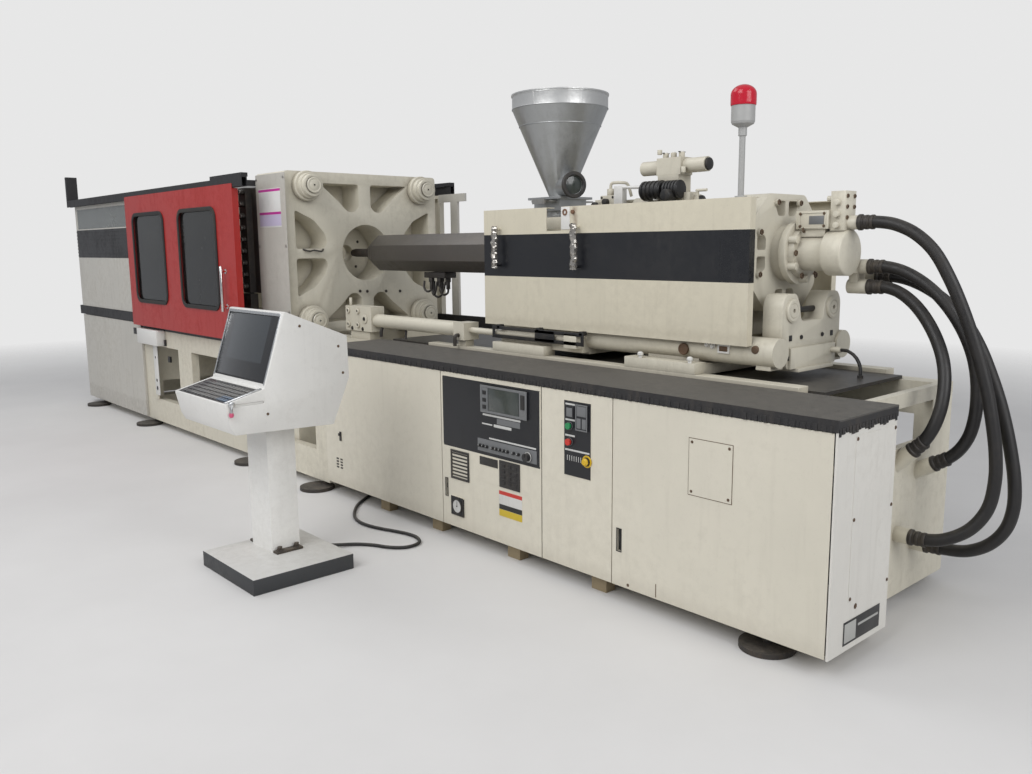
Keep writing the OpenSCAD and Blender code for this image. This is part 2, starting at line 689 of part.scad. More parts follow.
// Sliding doors: a pan hung on rollers in the upper rail
function hanger_x() = [x_end - door_from + 260, x_end - door_to - 360];
module door_slab(windows) {
    x0 = x_end - door_from;
    x1 = x_end - door_to;
    y1 = half_w + guard_proud;
    in = half_w + 5;
    hang = (rail_y0 + rail_y1) / 2;
    top = rail_z0 - 5;
    wins = windows ? [[x0 + win_left, x0 + win_left + win_w], [x1 - win_right - win_w, x1 - win_right]] : [];
    difference() {
        union() {
            along_y(-y1, -y1 + 4) polygon(soft(rect(x0, x1, door_z0, door_z1), 12, 3));
            block(x0, x1, -y1 + 3, -in, door_z0, top);
        }
        difference() {
            block(x0 + 25, x1 - 25, -y1 + 4, -in + 1, door_z0 + 25, top - 25);
            for (w = wins) block(w[0] - 25, w[1] + 25, -y1, -in + 2, win_z0 - 25, win_z1 + 25);
        }
        for (w = wins) along_y(-y1 - 1, -in + 1) polygon(soft(rect(w[0], w[1], win_z0, win_z1), 60, 4));
    }
    for (x = hanger_x()) {
        block(x, x + 90, -hang - 5, -hang + 5, top - 1, rail_z0 + 5 + roller_r + 12);
        for (d = [20, 70]) bar_y(-hang - 15, -hang + 15, x + d, rail_z0 + 5 + gap + roller_r, roller_r);
    }
}
module safety_door() color(red) on_plane() {
    y1 = half_w + guard_proud;
    door_slab(true);
    hx = x_end - 4680;
    for (z = [1135, 1385]) bar_y(-y1 - 38, -y1 + 3, hx, z, 7);
    bar_z(1115, 1405, hx, -y1 - 38, 9);
}
module door_windows() color([0.12, 0.13, 0.14, 0.8]) on_plane() {
    x0 = x_end - door_from;
    x1 = x_end - door_to;
    y1 = half_w + guard_proud - 12;
    for (w = [[x0 + win_left, x0 + win_left + win_w], [x1 - win_right - win_w, x1 - win_right]])
        along_y(-y1, -y1 + 6) polygon(soft(rect(w[0] + gap, w[1] - gap, win_z0 + gap, win_z1 - gap), 60, 4));
}
module rear_door() color(cream) on_plane() mirror([0, 1, 0]) door_slab(false);

// Fixed guards beside the clamp cylinder, with a clear strip, a ribbed vent band and a plain field
guard_x1 = x_end - door_from + 60;
vent_z = [1474, 1729];
clear_z = [1745, 1935];
module guard_side() {
    y1 = half_w;
    z1 = rail_z1 - 8 - gap;
    difference() {
        block(x_guard, guard_x1, -y1, -y1 + 4, low_z[1] + gap, z1);
        block(x_guard + 60, guard_x1 - 60, -y1 - 1, -y1 + 5, clear_z[0], clear_z[1]);
    }
    block(x_guard, x_guard + 4, -y1, -bed_half, low_z[1] + gap, z1);
    block(guard_x1 - 4, guard_x1, -y1, -bed_half, low_z[1] + gap, z1);
    block(x_guard + 50, guard_x1 - 50, -y1 + 4, -y1 + 8, clear_z[0] - 10, clear_z[1] + 10);
    for (i = [0 : 7]) let (z = vent_z[0] + 12 + i * (vent_z[1] - vent_z[0] - 24) / 7)
        block(x_guard + 6, guard_x1 - 8, -y1 - 4, -y1 + 1, z - 7, z + 7);
}
module platen_guard() {
    y0 = platen_half + 22;
    block(x_end - 4654, x_end - 4221, -y0, -y0 + 4, 1066, 2060);
    for (z = [1066, 2036]) block(x_end - 4654, x_plat, -y0, -platen_half, z, z + 4);
}
module side_guards() color(white) on_plane() {
    guard_side();
    mirror([0, 1, 0]) guard_side();
    block(x_guard, x_guard + 4, -bed_half - 1, bed_half + 1, low_z[1] + gap, rail_z1 - 40 - gap);
    platen_guard();
    block(x_end - 4490, x_end - 4150, half_w - 20, half_w, 1900, 1962);
    block(x_end - 4334, x_end - 4244, half_w - 20, half_w, low_z[1] + gap, 1901);
}

module lower_pan(x1) {
    z1 = low_z[0] - 5;
    block(x_guard, x1, -half_w, -half_w + 4, 62, z1);
    for (x = [x_guard, x1 - 4]) block(x, x + 4, -half_w, -bed_half, 62, way_z);
    for (z = [100, 830]) block(bed_x0 + 20, x1 - 20, -half_w, -bed_half, z, z + 4);
}
module lower_panels() color(white) on_plane() {
    lower_pan(x_end - 6620);
    mirror([0, 1, 0]) lower_pan(bed_x1);
    block(x_guard, x_guard + 4, -bed_half - 1, bed_half + 1, 62, low_z[0] - 5);
    for (s = [-1, 1]) block(x_guard, bed_x0, s * 500 - 30, s * 500 + 30, 120, 180);
}

// Water manifold: a column of hose nipples on a bracket beside the fixed platen
module water_manifold() color(dark) on_plane() {
    x0 = x_end - 4860;
    y0 = platen_half + 60;
    block(x0, x0 + 110, -y0, -y0 + 50, 1220, 1980);
    block(x0, x_mould + 20, -y0 + 48, -platen_half - 4, 1220, 1980);
    block(x_mould + 1, x_mould + 20, -platen_half - 5, -platen_half, 1220, 1980);
    for (i = [0 : 8]) for (k = [0, 1])
        bar_y(-y0 - 34, -y0 + 1, x0 + 30 + k * 50, 1270 + i * 85, 14);
    block(x0 + 10, x0 + 130, -y0 - 10, -y0 + 50, 1085, 1215);
    block(x0 + 30, x0 + 60, -y0 + 40, -y0 + 52, 1200, 1230);
}

module levelling_feet() color(dark) {
    for (x = [x_guard + 320, x_guard + 1700, x_mould + 150, bed_x1 - 100]) for (s = [-1, 1]) {
        bar_z(0, pad_h, x, s < 0 ? y_f - 15 : y_c + bed_half - 45, pad_r);
        bar_z(pad_h, bed_z0, x, y_c + s * (bed_half - 30), 20);
    }
    for (x = [x_end - 2700, x_end - 1400, inj_x1 - 160]) for (s = [-1, 1]) {
        bar_z(0, pad_h, x, y_c + s * (beam_in + 50), pad_r * 0.5);
        bar_z(pad_h, bed_z0, x, y_c + s * (beam_in + 50), 20);
    }
    for (x = [2863, 2348, 1717, 1139]) for (y = [40, cab_d - 110])
        block(x_end - x - 45, x_end - x + 45, y_f + y, y_f + y + 60, 0, cab_z0);
    bar_z(0, pad_h, x_end - 300, y_f + 90, pad_r);
    bar_z(pad_h, cab_z0, x_end - 300, y_f + 90, 16);
    bar_z(0, pad_h, x_end - 300, y_f + 330, pad_r * 0.5);
    bar_z(pad_h, cab_z0, x_end - 300, y_f + 330, 16);
}

module oil_tank() color(grey) on_plane() {
    x0 = x_end - 3280;
    difference() {
        block(x0, x0 + 1330, -beam_in + 12, beam_in - 12, sill_z, 700);
        block(x0 + 6, x0 + 1324, -beam_in + 18, beam_in - 18, sill_z + 6, 694);
    }
    bar_z(700, 735, x0 + 1100, -120, 55);
    bar_z(700, 760, x0 + 950, 140, 30);
}

module pump_set() color([0.30, 0.42, 0.45]) on_plane() {
    x0 = x_end - 1860;
    block(x0, x0 + 1180, -220, 220, sill_z, sill_z + 20);
    bar_x(x0 + 40, x0 + 660, 0, 500, 190);
    for (i = [0 : 11]) rotate_about(500, i * 30) block(x0 + 80, x0 + 600, -5, 5, 185, 205);
    block(x0 + 90, x0 + 600, -150, 150, sill_z + 19, 360);
    bar_x(x0 + 659, x0 + 760, 0, 500, 110);
    bar_x(x0 + 759, x0 + 1040, 0, 500, 85);
    block(x0 + 800, x0 + 1000, -60, 60, sill_z + 19, 440);
    block(x0 + 850, x0 + 960, -55, 55, 560, 660);
}
module rotate_about(z, a) translate([0, 0, z]) rotate([a, 0, 0]) children();

// Traverse cylinder on the bed, in front of the fixed platen; its rod belongs to the carriage
trav_y = -370;
trav_z = 1060;
trav_rod = 18;
trav_x = [x_end - 3900, x_end - 3580, x_end - 2690, x_end - 2590];
module traverse_cylinder() color(cream) on_plane() {
    difference() {
        union() {
            block(trav_x[0], trav_x[1], trav_y - 52, trav_y + 52, trav_z - 75, trav_z + 92);
            block(trav_x[0] + 40, trav_x[1] - 40, trav_y - 40, trav_y + 40, inj_z, trav_z - 70);
            bar_x(trav_x[1] - 5, trav_x[2] + 5, trav_y, trav_z, 44);
            block(trav_x[2], trav_x[3], trav_y - 56, trav_y + 56, trav_z - 58, trav_z + 44);
            block(trav_x[2] + 15, trav_x[3] - 15, trav_y - 30, trav_y + 30, inj_z + rail_t, trav_z - 50);
        }
        bar_x(trav_x[1], trav_x[2] + 10, trav_y, trav_z, 36);
        bar_x(trav_x[2], trav_x[3] + 1, trav_y, trav_z, trav_rod + run);
    }
}

// Carriage base: shoes on the guide rails, a front saddle and a rear cross plate
rod_end = tube_at;
saddle_z = axis_z - house_down;
module carriage_base() color(cream) on_plane() {
    xs = x_end - house_at;
    xt = x_end - tube_at;
    for (x = [x_end - 2340, x_end - 1358]) twin(x, x + 416, rail_in - 10, rail_in + rail_w, slide_z, shoe_z);
    block(xs, xt, -300, 300, shoe_z - 30, saddle_z);
    twin(xs + 62, xt, 299, rail_in + 10, shoe_z - 20, shoe_z + 60);
    block(x_end - 1358, x_end - 942, -rail_in + 3, rail_in - 3, inj_z + plate_t + 12, tube_z - tube_r - 6);
    for (s = [-1, 1]) difference() {
        block(x_end - 1300, x_end - 1000, s * tube_y - 40, s * tube_y + 40, tube_z - tube_r - 8, tube_z - 30);
        bar_x(x_end - 1301, x_end - 999, s * tube_y, tube_z, tube_r + gap);
    }
    block(xt - 90, xt, trav_y - 34, -299, trav_z - 40, trav_z + 34);
    bar_x(trav_x[1] + 380, xt - 80, trav_y, trav_z, trav_rod);
    bar_x(trav_x[1] + 350, trav_x[1] + 400, trav_y, trav_z, 36 - run);
}

module base_tubes() color(cream) on_plane() for (s = [-1, 1]) {
    difference() {
        bar_x(x_end - tube_at, x_end - tube_to, s * tube_y, tube_z, tube_r);
        bar_x(x_end - tube_at - 1, x_end - tube_to - 12, s * tube_y, tube_z, tube_r - 12);
    }
    bar_y(s > 0 ? tube_y + tube_r - 4 : -tube_y - tube_r - 6, s > 0 ? tube_y + tube_r + 6 : -tube_y - tube_r + 4,
        x_end - 1065, tube_z - 10, 22);
}

// Yoke: the carriage's rear bracket, a base with two upright ears
yoke_x = [x_end - 710, x_end - 612];
module yoke() color(cream) on_plane() {
    ear = soft([[-245, 1110], [-245, 1290], [-215, 1330], [-140, 1330], [-112, 1290], [-92, 1205],
        [92, 1205], [112, 1290], [140, 1330], [215, 1330], [245, 1290], [245, 1110], [205, 1090],
        [205, 998], [-205, 998], [-205, 1090]], 22);
    difference() {
        union() {
            along_x(yoke_x[0], yoke_x[1]) polygon(ear);
            block(yoke_x[0] - 20, yoke_x[1] + 14, -190, 190, 1000, 1092);
            for (s = [-1, 1]) bar_x(yoke_x[1] - 1, yoke_x[1] + 8, s * 170, 1256, 52);
            twin(yoke_x[0] + 8, yoke_x[1] - 16, 204, tube_y + 30, 1000, tube_z - 10);
            block(yoke_x[0] - 40, yoke_x[1] + 30, -150, 150, 985, 1001);
        }
        for (s = [-1, 1]) {
            bar_x(yoke_x[1] - 20, yoke_x[1] + 9, s * 170, 1256, 8);
            block(yoke_x[1] - 14, yoke_x[1] + 9, s * 176 - 13, s * 176 + 13, 1122, 1148);
            bar_x(yoke_x[0] - 41, yoke_x[1] + 31, s * tube_y, tube_z, tube_r + gap);
        }
    }
    bar_x(yoke_x[1] + 13, yoke_x[1] + 60, 160, 1060, 14);
}

module barrel_housing() color(cream) on_axis() difference() {
    block(x_end - house_at, x_end - house_to, -house_half, house_half, -house_down, house_up);
    bar_x(x_end - house_at - 1, x_end - barrel_to, 0, 0, barrel_r + gap);
    bar_x(x_end - barrel_to - 1, x_end - house_to + 1, 0, 0, piston_rod + 20);
    translate([0, 0, -axis_z]) bar_z(axis_z + 1, axis_z + house_up + 1, x_end - throat_at, 0, throat_r);
}

module barrel() color(steel) on_axis() difference() {
    bar_x(x_end - barrel_at, x_end - barrel_to, 0, 0, barrel_r);
    bar_x(x_end - barrel_at - 1, x_end - barrel_to + 1, 0, 0, bore_r);
    bar_z(0, barrel_r + 1, x_end - throat_at, 0, throat_r - 8);
}

module heater_bands() color([0.45, 0.43, 0.40]) on_axis() for (i = [0 : 5])
    let (x = x_end - barrel_at + 90 + i * 255) difference() {
        bar_x(x, x + 220, 0, 0, barrel_r + 14);
        bar_x(x - 1, x + 221, 0, 0, barrel_r + gap);
    }

module nozzle() color(dark) on_axis() {
    x0 = x_end - tip_at;
    x1 = x_end - barrel_at;
    difference() {
        rotate([0, 90, 0]) rotate_extrude() polygon([[4, x0], [12, x0], [26, x0 + 22], [30, x0 + 60], [30, x1 - 160],
            [44, x1 - 150], [44, x1 - 60], [78, x1 - 50], [78, x1], [4, x1]]);
    }
}

module barrel_shroud() color(dark) on_axis() {
    x0 = x_end - 4110;
    x1 = x_end - house_at;
    r = shroud_r / cos(22.5);
    along_x(x0 + 90, x1 - gap) rotate(22.5) difference() {
        circle(r, $fn = 8);
        circle(r - 3, $fn = 8);
    }
    difference() {
        translate([x0, 0, 0]) rotate([0, 90, 0]) rotate(22.5) cylinder(h = 91, r1 = 98, r2 = r, $fn = 8);
        translate([x0 - 1, 0, 0]) rotate([0, 90, 0]) rotate(22.5) cylinder(h = 93, r1 = 94, r2 = r - 4, $fn = 8);
    }
    for (x = [x0 + 200, x0 + 1600]) along_x(x, x + 5) difference() {
        rotate(22.5) circle(r - 2, $fn = 8);
        circle(barrel_r + 14 + gap);
    }
}

// Hopper: straight band, cone, outlet box with a slide gate, and a round sight port
module hopper() color(grey) on_plane() translate([x_end - throat_at, 0, 0]) {
    zb = hopper_z1 - band_h;
    floor_z = axis_z + house_up;
    difference() {
        union() {
            rotate_extrude($fn = 96) polygon([[cone_r, cone_z], [hopper_r, zb], [hopper_r, hopper_z1],
                [hopper_r - hopper_t, hopper_z1], [hopper_r - hopper_t, zb + 1],
                [cone_r - hopper_t, cone_z + 1], [cone_r - hopper_t, cone_z]]);
            rotate_extrude($fn = 96) polygon([[hopper_r - 1, hopper_z1 - 10], [hopper_r + 5, hopper_z1 - 8],
                [hopper_r + 5, hopper_z1], [hopper_r - 1, hopper_z1]]);
            block(-130, 130, -130, 130, cone_z - 12, cone_z + 1);
            block(-105, 105, -105, 105, floor_z + 40, cone_z - 11);
            bar_z(floor_z, floor_z + 41, 0, 0, 80);
            block(-110, 110, -110, 110, floor_z, floor_z + 12);
            rotate(-20) bar_x(30, 165, 0, cone_z + 62, 58);
            rotate(-20) bar_x(160, 180, 0, cone_z + 62, 68);
        }
        bar_z(floor_z - 1, cone_z + 2, 0, 0, throat_r);
        translate([0, 0, cone_z - 13]) cylinder(h = 16, r1 = throat_r, r2 = cone_r - hopper_t);
        rotate_extrude($fn = 96) polygon([[0, cone_z], [cone_r - hopper_t, cone_z],
            [hopper_r - hopper_t - 1, zb], [0, zb]]);
        rotate(-20) bar_x(0, 182, 0, cone_z + 62, 50);
        block(-80 - gap, 80 + gap, -160, 200, gate_z - gap, gate_z + gate_t + gap);
    }
}

module hopper_gate() color(steel) on_plane() translate([x_end - throat_at, 0, 0]) difference() {
    union() {
        block(-80, 80, -150, 190, gate_z, gate_z + gate_t);
        block(-40, 40, -168, -149, gate_z, gate_z + gate_t);
        block(-50, 50, -174, -166, gate_z - 12, gate_z + gate_t + 8);
    }
    bar_z(gate_z - 1, gate_z + gate_t + 1, 0, 0, throat_r);
}

// Cover of the injection unit: two hung panels with returned edges and stand-off brackets
module cover_panel(notch) {
    x0 = x_end - cover_at;
    x1 = x_end - cover_to;
    y1 = cover_half;
    difference() {
        union() {
            block(x0, x1, -y1, -y1 + cover_t, cover_z0, cover_z1);
            for (x = [x0, x1 - cover_t]) block(x, x + cover_t, -y1, -y1 + 40, cover_z0, cover_z1);
            block(x0, x1, -y1, -y1 + cover_lip, cover_z1 - cover_t, cover_z1);
            block(x0, x1, -y1, -y1 + 25, cover_z0, cover_z0 + cover_t);
        }
        if (notch) block(x_end - 1950, x_end - 1840, -y1 - 1, -y1 + cover_lip + 1, cover_z1 - 122, cover_z1 + 1);
    }
    for (x = [x_end - house_at + 60, x_end - house_to - 60]) for (z = [axis_z - 120, axis_z + 100])
        block(x - 20, x + 20, -y1 + cover_t - 1, -house_half, z, z + 30);
    for (z = [axis_z - 60, axis_z + 60]) block(x_end - 860, x_end - 820, -y1 + cover_t - 1, -block_half, z, z + 30);
}
module unit_cover() color(cream) on_plane() {
    cover_panel(true);
    mirror([0, 1, 0]) cover_panel(false);
    for (x = [x_end - 2325, x_end - 1713]) {
        for (z = [1440, 1640]) bar_y(-cover_half - 40, -cover_half + 1, x, z, 7);
        bar_z(1433, 1647, x, -cover_half - 40, 8);
    }
}

// Injection cylinder with its cast end block: eight-sided, with pockets between the arms
module block_outline() polygon(soft([[-block_half, -150], [-block_half, 150], [-150, block_half],
    [150, block_half], [block_half, 150], [block_half, -150], [150, -block_half], [-150, -block_half]], 18, 3));
module injection_cylinder() color(cream) on_axis() {
    xb = x_end - block_at;
    xe = x_end - block_to;
    difference() {
        union() {
            bar_x(x_end - inj_at, xb + 1, 0, 0, inj_r);
            along_x(xb, xe) block_outline();
            bar_x(xe - 1, x_end - flange_to - 30, 0, 0, flange_r - 14);
            block(xb - 110, xb + 10, -tube_y - 60, tube_y + 60, tube_z + tube_r - axis_z - 20, -120);
        }
        bar_x(x_end - piston_at - 20, xb - 15, 0, 0, inj_bore);
        bar_x(x_end - inj_at - 1, x_end - piston_at, 0, 0, piston_rod + run);
        bar_x(xb - 16, x_end - flange_to, 0, 0, shaft_r + run);
        along_x(xe - 70, xe + 1) for (a = [0 : 90 : 270]) for (s = [-1, 1]) rotate(a)
            polygon([for (p = soft([[-block_half + 30, 14], [-block_half + 30, 104], [-flange_r - 22, 70],
                [-flange_r - 22, 14]], 12, 3)) [p[0], p[1] * s]]);
        for (s = [-1, 1]) bar_x(xb - 111, xb + 11, s * tube_y, tube_z - axis_z, tube_r + gap);
    }
    for (a = [0 : 45 : 315]) rotate([a + 22.5, 0, 0]) bar_x(xe - 1, xe + 14, 0, block_half - 20, 15);
}

module injection_piston() color(steel) on_axis() difference() {
    union() {
        bar_x(x_end - rod_at, x_end - piston_at + piston_t - 1, 0, 0, piston_rod);
        bar_x(x_end - piston_at, x_end - piston_at + piston_t, 0, 0, inj_bore - run);
    }
    bar_x(x_end - piston_at + piston_t - hollow_d, x_end - piston_at + piston_t + 1, 0, 0, shaft_r + gap);
}

module drive_shaft() color(steel) on_axis()
    bar_x(x_end - shaft_at, x_end - flange_to - 4, 0, 0, shaft_r);

// Hydraulic motor behind the cast block, with its terminal box and hose manifold
mani_x = [x_end - 522, x_end - 455];
mani_z = [150, 262];
module drive_motor() color(cream) on_axis() {
    difference() {
        union() {
            bar_x(x_end - flange_to - 30, x_end - flange_to, 0, 0, flange_r);
            bar_x(x_end - flange_to - 1, x_end - flange_to + 26, 0, 0, flange_r - 30);
            bar_x(x_end - flange_to, x_end - waist_to + 1, 0, 0, waist_r);
            bar_x(x_end - waist_to, x_end - drum_to, 0, 0, drum_r);
        }
        bar_x(x_end - flange_to - 31, x_end - flange_to + 2, 0, 0, shaft_r + run);
    }
    for (a = [0 : 60 : 300]) rotate([a, 0, 0]) bar_x(x_end - flange_to - 1, x_end - flange_to + 40, 0, flange_r - 26, 17);
    block(x_end - 664, x_end - 540, -52, 52, waist_r - 10, 104);
    block(x_end - 675, x_end - 521, -62, 62, 103, 182);
    block(mani_x[0], mani_x[1], -45, 45, drum_r - 6, mani_z[1]);
    for (z = [118, 165, 215]) bar_y(-64, 64, (mani_x[0] + mani_x[1]) / 2, z, 13);
    for (y = [-22, 22]) bar_x(mani_x[0] - 26, mani_x[0] + 1, y, 232, 12);
    bar_x(mani_x[1] - 1, mani_x[1] + 44, 0, 128, 30);
    bar_x(x_end - drum_to - 60, x_end - drum_to + 30, drum_r + 26, -62, 32);
    block(x_end - drum_to - 50, x_end - drum_to - 10, drum_r - 30, drum_r + 26, -90, -34);
    bar_x(x_end - drum_to - 60, x_end - drum_to + 30, drum_r + 26, -150, 32);
    block(x_end - drum_to - 50, x_end - drum_to - 10, drum_r, drum_r + 52, -150, -62);
    bar_x(x_end - drum_to - 60, x_end - drum_to + 30, drum_r + 104, -106, 32);
    block(x_end - drum_to - 50, x_end - drum_to - 10, drum_r + 26, drum_r + 104, -130, -80);
}

// Valves on top of the injection cylinder
module valve_blocks() color(cream) on_plane() {
    zc = axis_z + inj_r;
    difference() {
        block(x_end - 1530, x_end - 1190, -85, 85, zc - 30, zc + 24);
        bar_x(x_end - 1531, x_end - 1189, 0, axis_z, inj_r + gap);
    }
    block(x_end - 1940, x_end - 1529, -60, 60, zc + 4, zc + 24);
    block(x_end - 1510, x_end - 1300, -70, 70, zc + 23, zc + 130);
    block(x_end - 1470, x_end - 1340, -50, 50, zc + 129, zc + 215);
    bar_x(x_end - 1600, x_end - 1200, 0, zc + 258, 36);
    block(x_end - 1480, x_end - 1330, -48, 48, zc + 214, zc + 300);
    for (i = [0 : 2]) bar_z(zc + 299, zc + 326, x_end - 1460 + i * 50, 0, 15);
    for (y = [-34, 34]) bar_x(x_end - 1620, x_end - 1509, y, zc + 80, 30);
    bar_x(x_end - 1301, x_end - 1240, 0, zc + 80, 34);
    block(x_end - 1900, x_end - 1800, -50, 50, zc + 23, zc + 112);
    bar_y(-96, 60, x_end - 1850, zc + 78, 24);
    block(x_end - 1780, x_end - 1690, -40, 40, zc + 23, zc + 96);
    bar_x(x_end - 1801, x_end - 1620, 0, zc + 98, 10);
    bar_z(zc + 97, zc + 128, x_end - 1735, 0, 12);
    bar_z(zc + 23, zc + 130, x_end - 1215, -60, 7);
    bar_x(x_end - 1222, x_end - 1160, -60, zc + 130, 7);
}

lamp_x = x_end - 780;
lamp_y = -cover_half + 32;
lamp_z = cover_z1 + beacon_h;
module beacon() color(grey) on_plane() {
    bar_z(cover_z1, cover_z1 + 6, lamp_x, lamp_y, 26);
    bar_z(cover_z1 + 5, lamp_z - 120, lamp_x, lamp_y, 13);
    bar_z(lamp_z - 125, lamp_z - 84, lamp_x, lamp_y, 18);
    translate([lamp_x, lamp_y, 0]) rotate_extrude() polygon([[0, lamp_z - 90], [20, lamp_z - 90], [46, lamp_z - 76],
        [50, lamp_z - 66], [50, lamp_z], [0, lamp_z]]);
}
module beacon_lamp() color([0.8, 0.05, 0.05]) on_plane() translate([lamp_x, lamp_y, 0])
    rotate_extrude() polygon([[0, lamp_z], [53, lamp_z], [54, lamp_z + 8], [54, lamp_z + 44],
        for (a = [10 : 10 : 90]) [54 * cos(a), lamp_z + 44 + 42 * sin(a)]]);

// Screw: a core with flights on its working length and a plain shank to the piston rod
module screw() color(steel) on_axis() {
    x0 = x_end - barrel_at + 60;
    x1 = x_end - throat_at + 70;
    pitch = 2 * bore_r;
    rotate([0, 90, 0]) rotate_extrude() polygon([[0, x0], [10, x0 + 14], [27, x0 + 60], [27, x1], [30, x1 + 10],
        [30, x_end - rod_at - gap], [0, x_end - rod_at - gap]]);
    for (i = [0 : floor((x1 - x0 - 90) / pitch)]) let (x = x0 + 70 + i * pitch)
        bar_x(x, x + 9, 0, 0, bore_r - run);
}

// Control stand. Its side outline starts at the key tray's front edge.
stand_x = x_end - stand_at;
gland_r = 15;
gland_l = 20;
cable_exit = 2480;
tray_z = 868;
under = [[45, 722], [545, 705]];
function under_z(u) = under[0][1] + (under[1][1] - under[0][1]) * (u - under[0][0]) / (under[1][0] - under[0][0]);
console_side = [[0, tray_z], [25, 760], under[0], under[1], [640, 925], [636, 1128], [318, 1259], [304, 1258], [194, 918]];
// The screen's face and the key deck's face: a base corner, the far corner and the plate's end margins
screen_face = [console_side[8], console_side[7]];
deck_face = [console_side[0], console_side[8]];
module on_face(face, from, to, top, deep) {
    d = unit(face[1] - face[0]);
    n = [d[1], -d[0]];
    l = norm(face[1] - face[0]);
    polygon([face[0] + d * from + n * top, face[0] + d * (l - to) + n * top,
        face[0] + d * (l - to) + n * deep, face[0] + d * from + n * deep]);
}
module stand_column() color(white) {
    block(x_end - 2700, x_end - 2700 + base_w, y_tray + 40, y_tray + 40 + base_d, 0, base_t);
    along_x(stand_x - column_w / 2, stand_x + column_w / 2) translate([y_tray, 0])
        polygon([[275, base_t - 1], [275 + column_d, base_t - 1], [275 + column_d, under_z(275 + column_d)],
            [275, under_z(275)]]);
    bar_y(y_tray + 39 + base_d, y_tray + 40 + base_d + gland_l, x_end - cable_exit, 30, gland_r);
}

plate_seat = 8;
module across(half) along_x(stand_x - half, stand_x + half) translate([y_tray, 0]) children();
module console_housing() color(white) difference() {
    across(console_w / 2) polygon(console_side);
    across(console_w / 2 - 14) on_face(screen_face, 20, 16, -1, plate_seat);
    across(console_w / 2 - 14) on_face(deck_face, 12, 18, -1, plate_seat);
    block(stand_x + console_w / 2 - 10, stand_x + console_w / 2 + 1, y_tray + 40, y_tray + 190, 850, 862);
}
module console_panels() color(black) {
    across(console_w / 2 - 14 - gap) on_face(screen_face, 20 + gap, 16 + gap, 3, plate_seat);
    across(console_w / 2 - 14 - gap) on_face(deck_face, 12 + gap, 18 + gap, 2, plate_seat);
}

// Free hoses and the stand's cable: tubes swept along routes chosen by hand.
// Routes are given as distance past the end panel, distance from the centre plane, and height.
function spline(p, i, t) = let (n = len(p) - 1, a = p[max(i - 1, 0)], b = p[i], c = p[i + 1], d = p[min(i + 2, n)])
    0.5 * (2 * b + (c - a) * t + (2 * a - 5 * b + 4 * c - d) * t * t + (3 * b - a - 3 * c + d) * t * t * t);
function ring(c, dir, r, n) = let (side = unit(cross(dir, abs(dir[1]) > 0.9 ? [1, 0, 0] : [0, 1, 0])),
    up = cross(side, dir)) [for (k = [0 : n - 1]) c + r * (side * cos(360 * k / n) + up * sin(360 * k / n))];
module sweep(p, r, n = 8) {
    m = len(p);
    dirs = [for (i = [0 : m - 1]) unit(p[min(i + 1, m - 1)] - p[max(i - 1, 0)])];
    flat = concat([p[1] - p[0]], [for (i = [1 : m - 2]) dirs[i]], [p[m - 1] - p[m - 2]]);
    rings = [for (i = [0 : m - 1]) ring(p[i], unit(flat[i]), r, n)];
    polyhedron([for (q = rings) each q], concat([[for (k = [0 : n - 1]) k]],
        [for (i = [0 : m - 2]) for (k = [0 : n - 1]) let (j = (k + 1) % n)
            [i * n + k, (i + 1) * n + k, (i + 1) * n + j, i * n + j]],
        [[for (k = [n - 1 : -1 : 0]) (m - 1) * n + k]]));
}
module hose(route, r) sweep([for (q = route) [x_end + q[0], y_c + q[1], q[2]]], r);

hose_r = 26;
upper_route = [[-411, 0, 1633], [-335, 0, 1633], [-255, 4, 1620], [-172, 11, 1580], [-96, 20, 1508],
    [-34, 29, 1403], [16, 37, 1294], [59, 45, 1182], [98, 49, 1069], [132, 51, 953], [160, 49, 836],
    [182, 44, 718], [190, 37, 604], [176, 22, 490], [124, -8, 400], [42, -38, 346], [-42, -58, 330],
    [-90, -60, 330]];
middle_route = [[-420, 126, 1443], [-346, 126, 1443], [-274, 130, 1426], [-206, 135, 1392],
    [-142, 139, 1345], [-84, 142, 1286], [-34, 144, 1219], [7, 145, 1146], [37, 145, 1069], [55, 143, 989],
    [62, 140, 908], [60, 136, 830], [46, 129, 754], [14, 121, 690], [-32, 114, 644], [-84, 112, 614]];
lower_route = [[-420, 126, 1355], [-350, 126, 1355], [-284, 121, 1338], [-223, 110, 1303],
    [-168, 94, 1257], [-119, 76, 1202], [-77, 56, 1142], [-43, 33, 1079], [-20, 8, 1013], [-9, -16, 948],
    [-8, -37, 884], [-18, -54, 824], [-38, -65, 772], [-66, -70, 730], [-98, -70, 698]];
outer_route = [[-420, 204, 1399], [-345, 204, 1399], [-268, 208, 1382], [-186, 212, 1344],
    [-105, 211, 1288], [-25, 207, 1208], [37, 201, 1114], [87, 194, 1012], [131, 187, 907],
    [168, 178, 800], [199, 168, 691], [222, 157, 588], [231, 143, 484], [213, 128, 392], [160, 114, 318],
    [80, 104, 272], [-12, 100, 258], [-90, 100, 258]];
stand_route = [[-2480, -1470, 30], [-2465, -1383, 15], [-2425, -1303, 10], [-2350, -1245, 10], [-2265, -1205, 10],
    [-2205, -1140, 10], [-2215, -1055, 10], [-2290, -1010, 10], [-2380, -1010, 10], [-2470, -1035, 10],
    [-2560, -1065, 10], [-2650, -1085, 10], [-2740, -1085, 10], [-2830, -1060, 10], [-2910, -1015, 10],
    [-2985, -960, 10], [-3055, -895, 10], [-3115, -820, 10], [-3170, -735, 12], [-3210, -645, 22],
    [-3240, -550, 44], [-3250, -455, 62]];
